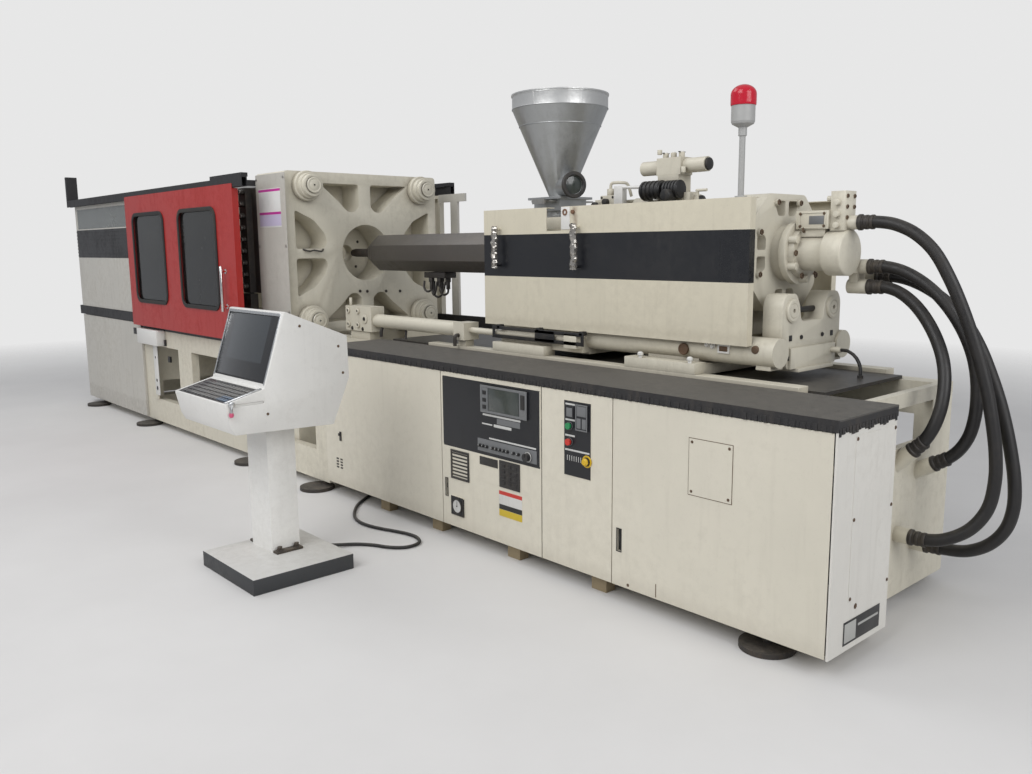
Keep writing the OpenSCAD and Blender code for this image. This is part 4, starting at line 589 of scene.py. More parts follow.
class Forge:
    """Builds one piece from bmesh shapes and hands it over as an object at the origin."""

    def __init__(self) -> None:
        """Starts an empty piece."""
        self.bm = bmesh.new()

    def round_edges(self, verts: Sequence, width: float, segments: int = 2, steeper: float = 30.0) -> None:
        """Bevels the sharp edges among some vertices.

        Args:
            verts: the vertices of the shape.
            width: the bevel's width.
            segments: its steps.
            steeper: only edges with a sharper angle, in degrees.
        """
        if width <= 0.0:
            return
        edges = {e for v in verts for e in v.link_edges
                 if len(e.link_faces) == 2 and e.calc_face_angle(0.0) > math.radians(steeper)}
        bmesh.ops.bevel(self.bm, geom=list(edges), offset=width, offset_type="OFFSET", affect="EDGES",
                        segments=segments, profile=0.5, material=-1, clamp_overlap=True)

    def block(self, low: Point, high: Point, bevel: float = 0.0, segments: int = 2) -> "Forge":
        """Adds a box.

        Args:
            low: its lowest corner.
            high: its highest corner.
            bevel: the width of its rounded edges.
            segments: their steps.

        Returns:
            The forge.
        """
        size = [max(h - l, 1e-5) for l, h in zip(low, high)]
        middle = [(l + h) / 2 for l, h in zip(low, high)]
        place = Matrix.Translation(middle) @ Matrix.Diagonal((*size, 1.0))
        made = bmesh.ops.create_cube(self.bm, size=1.0, matrix=place)
        self.round_edges(made["verts"], bevel, segments)
        return self

    def tile(self, area: Area, y0: float, y1: float, bevel: float = 0.0) -> "Forge":
        """Adds a box over an area of a front, from y0 to y1. Returns the forge."""
        x0, x1, z0, z1 = area
        return self.block((x0, y0, z0), (x1, y1, z1), bevel)

    def rod(self, start: Point, end: Point, r: float, sides: int = 24, bevel: float = 0.0) -> "Forge":
        """Adds a round rod.

        Args:
            start: the middle of its first end.
            end: the middle of its last end.
            r: its radius.
            sides: its sides.
            bevel: the width of its rounded edges.

        Returns:
            The forge.
        """
        a, b = Vector(start), Vector(end)
        turn = (b - a).to_track_quat("Z", "Y").to_matrix().to_4x4()
        place = Matrix.Translation((a + b) / 2) @ turn
        made = bmesh.ops.create_cone(self.bm, cap_ends=True, cap_tris=False, segments=sides, radius1=r,
                                     radius2=r, depth=(b - a).length, matrix=place)
        self.round_edges(made["verts"], bevel, 2, ROD_STEEPER)
        return self

    def stub(self, foot: Point, axis: Axis, length: float, r: float, sides: int = 24,
             bevel: float = 0.0) -> "Forge":
        """Adds a round rod that stands on a point along an axis. Returns the forge."""
        return self.rod(foot, axis.moved(foot, length), r, sides, bevel)

    def lathe(self, centre: Point, axis: Axis, profile: Sequence[Pair], sides: int = 32,
              ring: bool = False) -> "Forge":
        """Adds a turned shape.

        Args:
            centre: the origin of the profile on its axis.
            axis: the direction of its height.
            profile: radius and height of each point, first and last on the axis where it is closed.
            sides: steps round the axis.
            ring: closes the profile back to its first point.

        Returns:
            The forge.
        """
        return self.turned(Matrix.Translation(centre) @ axis.turn(), profile, sides, ring)

    def turned(self, place: Matrix, profile: Sequence[Pair], sides: int, ring: bool) -> "Forge":
        """Adds a shape turned about a place's own Z.

        Args:
            place: where the profile's origin lies, and how its axis is turned.
            profile: radius and height of each point.
            sides: steps round the axis.
            ring: closes the profile back to its first point.

        Returns:
            The forge.
        """
        verts = [self.bm.verts.new(place @ Vector((r, 0.0, h))) for r, h in profile]
        pairs = zip(verts, verts[1:] + verts[:1]) if ring else zip(verts, verts[1:])
        edges = [self.bm.edges.new(pair) for pair in pairs]
        spindle = place.to_3x3() @ Vector((0.0, 0.0, 1.0))
        bmesh.ops.spin(self.bm, geom=verts + edges, cent=place.translation, axis=spindle,
                       angle=2 * math.pi, steps=sides, use_merge=True)
        return self

    def ring_rod(self, start: Vector, end: Vector, inner: float, outer: float, sides: int = 36) -> "Forge":
        """Adds a ring with a rounded rim.

        Args:
            start: the middle of its flat side.
            end: the middle of its rounded side.
            inner: the radius of its hole.
            outer: its own radius.
            sides: steps round its axis.

        Returns:
            The forge.
        """
        along = end - start
        place = Matrix.Translation(start) @ along.to_track_quat("Z", "Y").to_matrix().to_4x4()
        high, edge = along.length, min(along.length, outer - inner) * 0.25
        profile = [(inner, 0.0), (inner, high - edge), (inner + edge, high), (outer - edge, high),
                   (outer, high - edge), (outer, 0.0)]
        return self.turned(place, profile, sides, True)

    def collar(self, foot: Point, axis: Axis, height: float, inner: float, outer: float) -> "Forge":
        """Adds a rounded ring that stands on a point along an axis. Returns the forge."""
        start, end = Vector(foot), Vector(axis.moved(foot, height))
        return self.ring_rod(start, end, inner, outer)

    def bolts(self, places: Sequence[Point], axis: Axis, r: float, height: float) -> "Forge":
        """Adds a washer and a six-sided head at each place.

        Args:
            places: the middle of each washer's foot.
            axis: the direction that the heads stand in.
            r: a head's radius.
            height: a head's height, below zero where it stands the other way.

        Returns:
            The forge.
        """
        step = axis.step(height)
        for foot in (Vector(place) for place in places):
            self.rod(foot, foot + step * 0.25, r * 1.35, sides=20)
            self.rod(foot + step * 0.2, foot + step, r, sides=6, bevel=r * 0.12)
        return self

    def socket(self, at: Point, r: float) -> "Forge":
        """Adds a socket screw with a hexagon hole, standing along +X. Returns the forge."""
        profile = [(r * 0.5, 0.0), (r * 0.5, 0.006), (r * 0.9, 0.006), (r, 0.004), (r, 0.0)]
        return self.lathe(at, Axis.X, profile, 6, ring=True)

    def pipe(self, points: Sequence[Point], radius: float, sides: int = 12, steps: int = 4) -> "Forge":
        """Adds a round pipe or wire.

        Args:
            points: the points that its centre goes through.
            radius: its radius.
            sides: the sides of its section.
            steps: the steps between each pair of points.

        Returns:
            The forge.
        """
        mesh = swept(smooth_line(points, steps), radius, sides)
        self.bm.from_mesh(mesh)
        bpy.data.meshes.remove(mesh)
        return self

    def sheet(self, area: Area, y: float, across: int, up: int, thick: float) -> "Forge":
        """Adds a thin gridded sheet that faces the front.

        Args:
            area: the sheet's two ends across and two ends up.
            y: the place of its front face.
            across: the grid's cells across.
            up: the grid's cells up.
            thick: its thickness.

        Returns:
            The forge.
        """
        x0, x1, z0, z1 = area
        made = bmesh.ops.create_grid(self.bm, x_segments=across, y_segments=up, size=1.0)["verts"]
        half = max(v.co.x for v in made)
        for v in made:
            u, w = v.co.x / half, v.co.y / half
            v.co = Vector(((x0 + x1 + u * (x1 - x0)) / 2, y, (z0 + z1 + w * (z1 - z0)) / 2))
        faces = list({f for v in made for f in v.link_faces})
        self.bm.normal_update()
        bmesh.ops.solidify(self.bm, geom=faces, thickness=thick)
        return self

    def roughen(self, amount: float, scale: float) -> "Forge":
        """Pushes the piece in and out by a noise.

        Args:
            amount: the furthest push.
            scale: the noise's waves in a metre.

        Returns:
            The forge.
        """
        self.bm.normal_update()
        for v in self.bm.verts:
            v.co += v.normal * amount * noise.noise(v.co * scale)
        return self

    def plate(self, outline: Sequence[Pair], axis: Axis, start: float, end: float,
              bevel: float = 0.0) -> "Forge":
        """Adds a flat outline with a thickness from start to end. Returns the forge."""
        return self.thicken([self.flat(outline, axis, start)], axis, end - start, bevel)

    def flat(self, outline: Sequence[Pair], axis: Axis, start: float) -> bmesh.types.BMFace:
        """Makes a flat face.

        Args:
            outline: points in the two other axes, in their order x, y, z.
            axis: the direction that the face looks along.
            start: its place on that axis.

        Returns:
            The face.
        """
        lift = {Axis.X: lambda u, v: (start, u, v), Axis.Y: lambda u, v: (u, start, v),
                Axis.Z: lambda u, v: (u, v, start)}[axis]
        return self.bm.faces.new([self.bm.verts.new(lift(u, v)) for u, v in outline])

    def thicken(self, faces: list[bmesh.types.BMFace], axis: Axis, depth: float, bevel: float) -> "Forge":
        """Gives flat faces a thickness and rounds the edges.

        Args:
            faces: the faces.
            axis: the direction of the thickness.
            depth: how far it goes along the axis.
            bevel: the width of the rounded edges.

        Returns:
            The forge.
        """
        grown = bmesh.ops.extrude_face_region(self.bm, geom=faces, use_keep_orig=True)["geom"]
        top = [g for g in grown if isinstance(g, bmesh.types.BMVert)]
        bmesh.ops.translate(self.bm, vec=axis.step(depth), verts=top)
        verts = list({v for f in faces for v in f.verts}) + top
        bmesh.ops.recalc_face_normals(self.bm, faces=list({f for v in verts for f in v.link_faces}))
        self.round_edges(verts, bevel)
        return self

    def frame(self, outline: Sequence[Pair], start: float, end: float, width: float,
              bevel: float = 0.0) -> "Forge":
        """Adds a flat frame that faces the front, an outline with its inside cut away.

        Args:
            outline: the points across and up.
            start: the place of its first side.
            end: the place of its last side.
            width: the width of its rim.
            bevel: the width of its rounded edges.

        Returns:
            The forge.
        """
        face = self.flat(outline, Axis.Y, start)
        face.normal_update()
        rim = bmesh.ops.inset_region(self.bm, faces=[face], thickness=width, use_even_offset=True,
                                     use_boundary=True)["faces"]
        bmesh.ops.delete(self.bm, geom=[face], context="FACES_ONLY")
        return self.thicken(rim, Axis.Y, end - start, bevel)

    def done(self, name: str, body: Body, finish: Finish, sharp: float = 38.0) -> None:
        """Hands over the piece.

        Args:
            name: the piece's name.
            body: the body that it rides on.
            finish: its finish.
            sharp: edges sharper than this many degrees stay sharp.
        """
        bmesh.ops.remove_doubles(self.bm, verts=list(self.bm.verts), dist=1e-6)
        bmesh.ops.recalc_face_normals(self.bm, faces=list(self.bm.faces))
        dress(mesh_object(self.bm, name, sharp), body, finish)


def mesh_object(bm: bmesh.types.BMesh, name: str, sharp: float) -> bpy.types.Object:
    """Turns a bmesh into a linked object with smooth faces and sharp edges.

    Args:
        bm: the shape, freed at the end.
        name: the object's name.
        sharp: edges sharper than this many degrees stay sharp.

    Returns:
        The object.
    """
    for face in bm.faces:
        face.smooth = True
    for edge in bm.edges:
        edge.smooth = len(edge.link_faces) == 2 and edge.calc_face_angle(0.0) < math.radians(sharp)
    mesh = bpy.data.meshes.new(name)
    bm.to_mesh(mesh)
    bm.free()
    piece = bpy.data.objects.new(name, mesh)
    bpy.context.scene.collection.objects.link(piece)
    return piece


def dress(piece: bpy.types.Object, body: Optional[Body], finish: Finish) -> None:
    """Gives a piece its finish as its only material, and its body.

    Args:
        piece: the object.
        body: the body that it rides on, or nothing where its builder says so itself.
        finish: its finish.
    """
    piece.data.materials.clear()
    piece.data.materials.append(finish.material())
    if body is not None:
        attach(piece, body.value)
    LOG.info("%s made", piece.name)


@dataclass
class Hose:
    """A hose or cable along a route, as a smooth tube that stands for its CAD solid.

    The route's points are millimetres past the end panel, from the centre plane and above the floor.
    """

    node: str
    route: Sequence[tuple[float, int, int]]
    length: float
    radius: float
    finish: Finish
    body: Optional[Body] = None
    steps: int = 6
    sides: int = 20
    thick: float = 0.020

    def line(self) -> list[Vector]:
        """Returns a smooth line through the route's points, in metres."""
        points = [Vector((X_END + x / 1000, Y_C + y / 1000, z / 1000)) for x, y, z in self.route]
        return smooth_line(points, self.steps)

    def tube(self, line: Sequence[Vector]) -> bpy.types.Object:
        """Makes the tube along its line.

        Args:
            line: the points of its centre.

        Returns:
            The tube's object.
        """
        mesh = swept(line, self.radius, self.sides)
        for face in mesh.polygons:
            face.use_smooth = True
        piece = bpy.data.objects.new(f"{self.node}_tube", mesh)
        bpy.context.scene.collection.objects.link(piece)
        return piece

    def build(self) -> None:
        line = self.line()
        piece = self.tube(line)
        dress(piece, self.body, self.finish)
        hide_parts(self.node)
        is_hose = self.radius > self.thick
        if self.body is None:
            top, foot = line[0], line[-1]
            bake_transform(piece, "machine", "carriage", start=(top.x, top.y, foot.z + 0.02),
                     end=(top.x, top.y, top.z - 0.02))
        if is_hose:
            self.sleeve("top_sleeve", line[0], line[self.steps], Body.CARRIAGE)
            self.sleeve("foot_sleeve", line[-1], line[-1 - self.steps], Body.MACHINE)

    def sleeve(self, name: str, end: Vector, inner: Vector, body: Body) -> None:
        """Presses a ribbed metal sleeve on one end of the hose.

        Args:
            name: the last part of the sleeve's name.
            end: the hose's end.
            inner: the next point of the route.
            body: the body that the sleeve rides on.
        """
        along = (inner - end).normalized()
        grow = self.radius + 0.0005
        forge = Forge()
        forge.ring_rod(end + along * 0.001, end + along * 0.016, self.radius * 0.6, grow + 0.008, 32)
        for k in range(4):
            foot = end + along * (0.016 + 0.013 * k)
            rib = grow + (0.0045 if k % 2 else 0.0025)
            forge.ring_rod(foot, foot + along * 0.012, self.radius * 0.8, rib, 32)
        forge.done(f"{self.node}_{name}", body, FITTINGS)


HOSES = [
    Hose("hose_upper", [(-411, 0, 1633), (-335, 0, 1633), (-255, 4, 1620), (-172, 11, 1580),
                        (-96, 20, 1508), (-34, 29, 1403), (16, 37, 1294), (59, 45, 1182), (98, 49, 1069),
                        (132, 51, 953), (160, 49, 836), (182, 44, 718), (190, 37, 604), (176, 22, 490),
                        (124, -8, 400), (42, -38, 346), (-42, -58, 330), (-90, -60, 330)],
         1.779, 0.026, HOSE),
    Hose("hose_middle", [(-420, 126, 1443), (-346, 126, 1443), (-274, 130, 1426), (-206, 135, 1392),
                         (-142, 139, 1345), (-84, 142, 1286), (-34, 144, 1219), (7, 145, 1146),
                         (37, 145, 1069), (55, 143, 989), (62, 140, 908), (60, 136, 830), (46, 129, 754),
                         (14, 121, 690), (-32, 114, 644), (-84, 112, 614)], 1.155, 0.026, HOSE),
    Hose("hose_lower", [(-420, 126, 1355), (-350, 126, 1355), (-284, 121, 1338), (-223, 110, 1303),
                        (-168, 94, 1257), (-119, 76, 1202), (-77, 56, 1142), (-43, 33, 1079),
                        (-20, 8, 1013), (-9, -16, 948), (-8, -37, 884), (-18, -54, 824), (-38, -65, 772),
                        (-66, -70, 730), (-98, -70, 698)], 0.939, 0.026, HOSE),
    Hose("hose_outer", [(-420, 204, 1399), (-345, 204, 1399), (-268, 208, 1382), (-186, 212, 1344),
                        (-105, 211, 1288), (-25, 207, 1208), (37, 201, 1114), (87, 194, 1012),
                        (131, 187, 907), (168, 178, 800), (199, 168, 691), (222, 157, 588),
                        (231, 143, 484), (213, 128, 392), (160, 114, 318), (80, 104, 272),
                        (-12, 100, 258), (-90, 100, 258)], 1.690, 0.026, HOSE),
    Hose("stand_cable", [(-2480, -1470, 30), (-2465, -1383, 15), (-2425, -1303, 10), (-2350, -1245, 10),
                         (-2265, -1205, 10), (-2205, -1140, 10), (-2215, -1055, 10), (-2290, -1010, 10),
                         (-2380, -1010, 10), (-2470, -1035, 10), (-2560, -1065, 10), (-2650, -1085, 10),
                         (-2740, -1085, 10), (-2830, -1060, 10), (-2910, -1015, 10), (-2985, -960, 10),
                         (-3055, -895, 10), (-3115, -820, 10), (-3170, -735, 12), (-3210, -645, 22),
                         (-3240, -550, 44), (-3250, -455, 62)], 1.968, 0.009, CABLE, Body.MACHINE, 5, 12),
    Hose("yoke_cable", [(-551.7, 160, 1060), (-534, 160, 1060), (-520, 158, 1059), (-508, 155, 1055),
                        (-497, 153, 1050), (-487, 151, 1045), (-478, 149, 1038), (-469, 147, 1031),
                        (-462, 145, 1022), (-455, 143, 1013), (-450, 141, 1003), (-446, 140, 993),
                        (-443, 138, 982), (-441, 136, 971), (-440, 134, 957)], 0.174, 0.008, CABLE,
         None, 2, 12),
]


@dataclass
class SoftCasting:
    """A merged copy of a CAD solid with rounded edges, which stands for its node."""

    node: str
    finish: Finish
    width: float
    merge: float = 2e-5
    thin: float = 0.002
    sharp: Pair = (20.0, 32.0)

    def build(self) -> None:
        """Builds the copy."""
        source = frame["nodes"][self.node]
        forge = Forge()
        bm = forge.bm
        bm.from_mesh(source.data)
        bmesh.ops.transform(bm, matrix=source.matrix_world, verts=list(bm.verts))
        bmesh.ops.remove_doubles(bm, verts=list(bm.verts), dist=self.merge)
        bmesh.ops.dissolve_degenerate(bm, dist=self.merge / 2, edges=list(bm.edges))
        bmesh.ops.dissolve_limit(bm, angle_limit=math.radians(0.5), verts=list(bm.verts),
                                 edges=list(bm.edges))
        forge.round_edges(list(bm.verts), self.width)
        piece = mesh_object(bm, f"{self.node}_soft", self.sharp[0 if self.width <= self.thin else 1])
        body = body_of(source)
        dress(piece, None, self.finish)
        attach(piece, body if isinstance(body, str) else body[0])
        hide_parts(self.node)


CASTINGS = {
    0.008: "stationary_platen moving_platen", 0.006: "injection_cylinder yoke barrel_housing clamp_cylinder",
    0.004: "carriage_base console_housing", 0.003: "drive_motor stand_column tie_bar_nuts",
    0.002: "unit_cover barrel_shroud valve_blocks traverse_cylinder base_tubes bed_frame guide_rails",
    0.0015: "left_door control_door main_door operator_panel end_panel safety_door rear_door side_guards "
            "lower_panels hopper water_manifold levelling_feet tie_bars beacon door_rails",
}


@dataclass
class SafetyDoor:
    """The red sliding door's rubber gaskets and its bar handle."""

    front: float = -0.355
    windows: tuple[Area, ...] = ((-2.320, -1.640, 1.108, 1.835), (-1.330, -0.650, 1.108, 1.835))
    lip: float = 0.014
    gasket: float = 0.030
    corner: float = 0.088
    handle_x: float = -0.520
    handle_z: Pair = (1.098, 1.422)
    feet_z: Pair = (1.135, 1.385)
    stand_off: float = 0.038

    def gaskets(self) -> None:
        """Lays a rubber gasket round each window."""
        forge = Forge()
        for x0, x1, z0, z1 in self.windows:
            outline = rounded((x0 - self.lip, x1 + self.lip, z0 - self.lip, z1 + self.lip), self.corner)
            forge.frame(outline, self.front - 0.009, self.front + 0.0005, self.gasket, 0.003)
        forge.done("window_gaskets", Body.SAFETY_DOOR, RUBBER)

    def handle(self) -> None:
        """Sleeves the bar handle in chrome, with a foot at each end."""
        x, y = self.handle_x, self.front - self.stand_off
        forge = Forge().rod((x, y, self.handle_z[0]), (x, y, self.handle_z[1]), 0.0115, bevel=0.004)
        for z in self.feet_z:
            forge.stub((x, self.front - 0.006, z), Axis.Y, 0.006, 0.017, bevel=0.002)
        forge.done("door_handle", Body.SAFETY_DOOR, CHROME)

    def build(self) -> None:
        """Builds the pieces."""
        self.gaskets()
        self.handle()


@dataclass
class ClampGuards:
    """Fittings on the fixed guards and panels beside the clamp."""

    front: float = PANEL_Y
    strip: Area = (-4.008, -2.492, 1.747, 1.933)
    strip_cells: tuple[int, int] = (60, 10)
    strip_thick: float = 0.0012
    box_low: Point = (-2.408, -0.362, 0.735)
    box_high: Point = (-1.950, -0.285, 0.866)
    hanger: Area = (-2.200, -2.110, 0.290, 0.742)
    hanger_x: float = -2.155
    hanger_hole_shades: tuple[Pair, ...] = ((0.420, 0.014), (0.350, 0.018), (0.620, 0.010))
    panel_cover: Area = (-2.640, -2.560, 0.795, 0.850)
    bed_face: float = -0.285
    bed_covers: tuple[Area, ...] = ((-1.985, -1.930, 0.735, 0.785), (-1.890, -1.845, 0.600, 0.650))
    guard_face: float = -0.105
    sheet: Area = (-0.452, -0.131, 1.690, 1.960)
    bolt_x: Pair = (-0.478, -0.078)
    bolt_z: tuple[float, ...] = (1.10, 1.56, 2.03)

    def clear_strip(self) -> None:
        """Sets the wavy clear strip in its opening."""
        forge = Forge().sheet(self.strip, self.front + 0.0008, *self.strip_cells, self.strip_thick)
        forge.roughen(self.strip_thick / 3, 3.5)
        forge.done("clear_strip", Body.MACHINE, CLEAR)

    def limit_box(self) -> None:
        """Adds the white switch box under the door, its perforated hanger, the dark covers and black discs of
        painted shade in the hanger's holes.
        """
        forge = Forge().block(self.box_low, self.box_high, 0.006)
        forge.tile(self.hanger, self.front - 0.001, self.front + 0.006, 0.002)
        forge.done("limit_box", Body.MACHINE, WHITE)
        dark = Forge().tile(self.panel_cover, self.front - 0.0035, self.front + 0.001, 0.001)
        # Black discs paint the shade inside the hanger's holes.
        for z, r in self.hanger_hole_shades:
            dark.stub((self.hanger_x, self.front - 0.0025, z), Axis.Y, 0.0025, r)
        for area in self.bed_covers:
            dark.tile(area, self.bed_face - 0.015, self.bed_face + 0.002, 0.002)
        dark.done("limit_box_holes", Body.MACHINE, BLACK_PLASTIC)

    def guard_sheet(self) -> None:
        """Lays the sheet with two coloured header bars on the platen's guard, and adds the guard's bolts."""
        forge = Forge().tile(self.sheet, self.guard_face - 0.0012, self.guard_face + 0.0001, PRINT_EDGE)
        forge.done("guard_sheet", Body.MACHINE, SHEET)
        bolts = [(x, self.guard_face, z) for x in self.bolt_x for z in self.bolt_z]
        Forge().bolts(bolts, Axis.Y, 0.008, -0.005).done("guard_bolts", Body.MACHINE, STEEL)

    def build(self) -> None:
        """Builds the pieces."""
        self.clear_strip()
        self.limit_box()
        self.guard_sheet()


@dataclass
class PlatenFittings:
    """The fixed platen's bar caps, plugs and the water column's connectors."""

    face: float = X_PLAT
    reach: float = 0.132
    across: float = 0.487
    up: float = 0.470
    plug_places: tuple[Pair, ...] = ((0.497, 1.223), (0.560, 1.219), (0.728, 1.214), (0.856, 1.209))
    recess_x: float = -0.400
    recess_r: float = 0.135
    recess_turns: tuple[int, ...] = (-52, 38, 128, 218)
    hook: tuple[Point, ...] = ((-0.115, 0.040, 1.536), (-0.080, 0.075, 1.522), (-0.095, 0.120, 1.528),
                               (-0.070, 0.165, 1.520), (-0.115, 0.205, 1.535))
    nipple_x: Pair = (-0.670, -0.620)
    nipple_y: float = -0.177
    nipple_z: float = 1.270
    nipple_pitch: float = 0.085
    nipple_rows: int = 9
    capped_row: int = 6

    def bar_caps(self) -> None:
        """Closes the tie bars with painted discs that leave the centre hole."""
        forge = Forge()
        profile = [(0.0075, 0.0), (0.0075, 0.004), (0.036, 0.004), (0.038, 0.0025), (0.041, 0.0025),
                   (0.043, 0.004), (0.050, 0.004), (0.054, 0.0)]
        for sy in (-1, 1):
            for sz in (-1, 1):
                at = (self.face + self.reach, Y_C + sy * self.across, AXIS_Z + sz * self.up)
                forge.lathe(at, Axis.X, profile, 40, ring=True)
        forge.done("bar_end_caps", Body.MACHINE, CREAM)

    def plugs(self) -> None:
        """Adds grease plugs and a hook bolt on the casting's face, and screws in the recess."""
        forge = Forge().bolts([(self.face, y, z) for y, z in self.plug_places], Axis.X, 0.008, 0.010)
        turns = [math.radians(turn) for turn in self.recess_turns]
        screws = [(self.recess_x, Y_C + self.recess_r * math.cos(a), AXIS_Z + self.recess_r * math.sin(a))
                  for a in turns]
        forge.bolts(screws, Axis.X, 0.008, 0.005)
        forge.pipe(self.hook, 0.006)
        forge.done("platen_plugs", Body.MACHINE, FITTINGS)

    def row_z(self, row: int) -> float:
        """Returns the height of a row of nipples."""
        return self.nipple_z + self.nipple_pitch * row

    def connectors(self) -> None:
        """Adds a hexagon and a bright rim to every nipple, and one red cap."""
        hexes, rims = Forge(), Forge()
        y = self.nipple_y
        rim = [(0.0095, -0.001), (0.0155, -0.001), (0.0155, 0.006), (0.0145, 0.010), (0.0145, 0.001),
               (0.0095, 0.001)]
        capped = (self.nipple_x[0], self.row_z(self.capped_row))
        for z in (self.row_z(row) for row in range(self.nipple_rows)):
            for x in self.nipple_x:
                hexes.stub((x, y + 0.030, z), Axis.Y, -0.016, 0.0195, 6, 0.001)
                if (x, z) != capped:
                    rims.lathe((x, y, z), Axis.Y, rim, 20, ring=True)
        hexes.done("nipple_hexagons", Body.MACHINE, FITTINGS)
        rims.done("nipple_rims", Body.MACHINE, STEEL)
        cap = [(0.0, 0.0), (0.014, 0.0), (0.018, 0.004), (0.018, 0.026), (0.0, 0.026)]
        forge = Forge().lathe((capped[0], y - 0.012, capped[1]), Axis.Y, cap, 20)
        forge.done("nipple_cap", Body.MACHINE, RED_CAP)

    def build(self) -> None:
        """Builds the pieces."""
        self.bar_caps()
        self.plugs()
        self.connectors()


@dataclass
class CoverFittings:
    """Fittings on the injection unit's cover: wrapped handles, feed plate, slotted bracket."""

    front: float = 0.195
    handle_x: Pair = (1.835, 2.447)
    handle_z: tuple[float, ...] = (1.425, 1.44, 1.47, 1.50, 1.54, 1.58, 1.61, 1.635, 1.655)
    feed_plate: Area = (2.322, 2.384, 1.628, 1.742)
    tap_z: float = 1.715
    plug_x: float = 2.408
    ring_x: float = 2.352
    bracket_area: Area = (1.800, 2.512, 1.036, 1.104)
    bracket_plate: Area = (2.150, 2.300, 1.040, 1.100)
    hook_x: tuple[float, ...] = (1.840, 2.160, 2.480)

    def wrapped_handles(self) -> None:
        """Wraps the bar handles in crumpled film."""
        forge = Forge()
        for x in self.handle_x:
            forge.pipe([(x, self.front - 0.040, z) for z in self.handle_z], 0.0175, 16, 6)
        forge.roughen(0.0080, 45.0).roughen(0.0035, 130.0)
        forge.done("handle_wraps", Body.CARRIAGE, FILM, 24.0)

    def feed_tap(self) -> None:
        """Adds the white plate, its ring and a rusty plug beside the notch."""
        y = self.front
        Forge().tile(self.feed_plate, y - 0.004, y + 0.001, 0.001).done("feed_plate", Body.CARRIAGE, WHITE)
        forge = Forge().stub((self.plug_x, y - 0.001, self.tap_z), Axis.Y, -0.011, 0.011, bevel=0.003)
        forge.lathe((self.ring_x, y - 0.004, self.tap_z), Axis.Y, band(0.009, 0.017, -0.004, 0.0), 20,
                    ring=True)
        forge.done("feed_tap", Body.CARRIAGE, RUSTY)

    def bracket(self) -> None:
        """Hangs the dark slotted bracket under the cover's front."""
        y0, y1 = self.front - 0.034, self.front - 0.029
        forge = Forge().frame(rect(*self.bracket_area), y0, y1, 0.020, 0.001)
        forge.tile(self.bracket_plate, y0, y1, 0.001)
        for x in self.hook_x:
            forge.tile((x, x + 0.022, 1.090, 1.112), y0, self.front + 0.003, 0.001)
        forge.done("slotted_bracket", Body.CARRIAGE, BLACK_PLASTIC)

    def build(self) -> None:
        """Builds the pieces."""
        self.wrapped_handles()
        self.feed_tap()
        self.bracket()


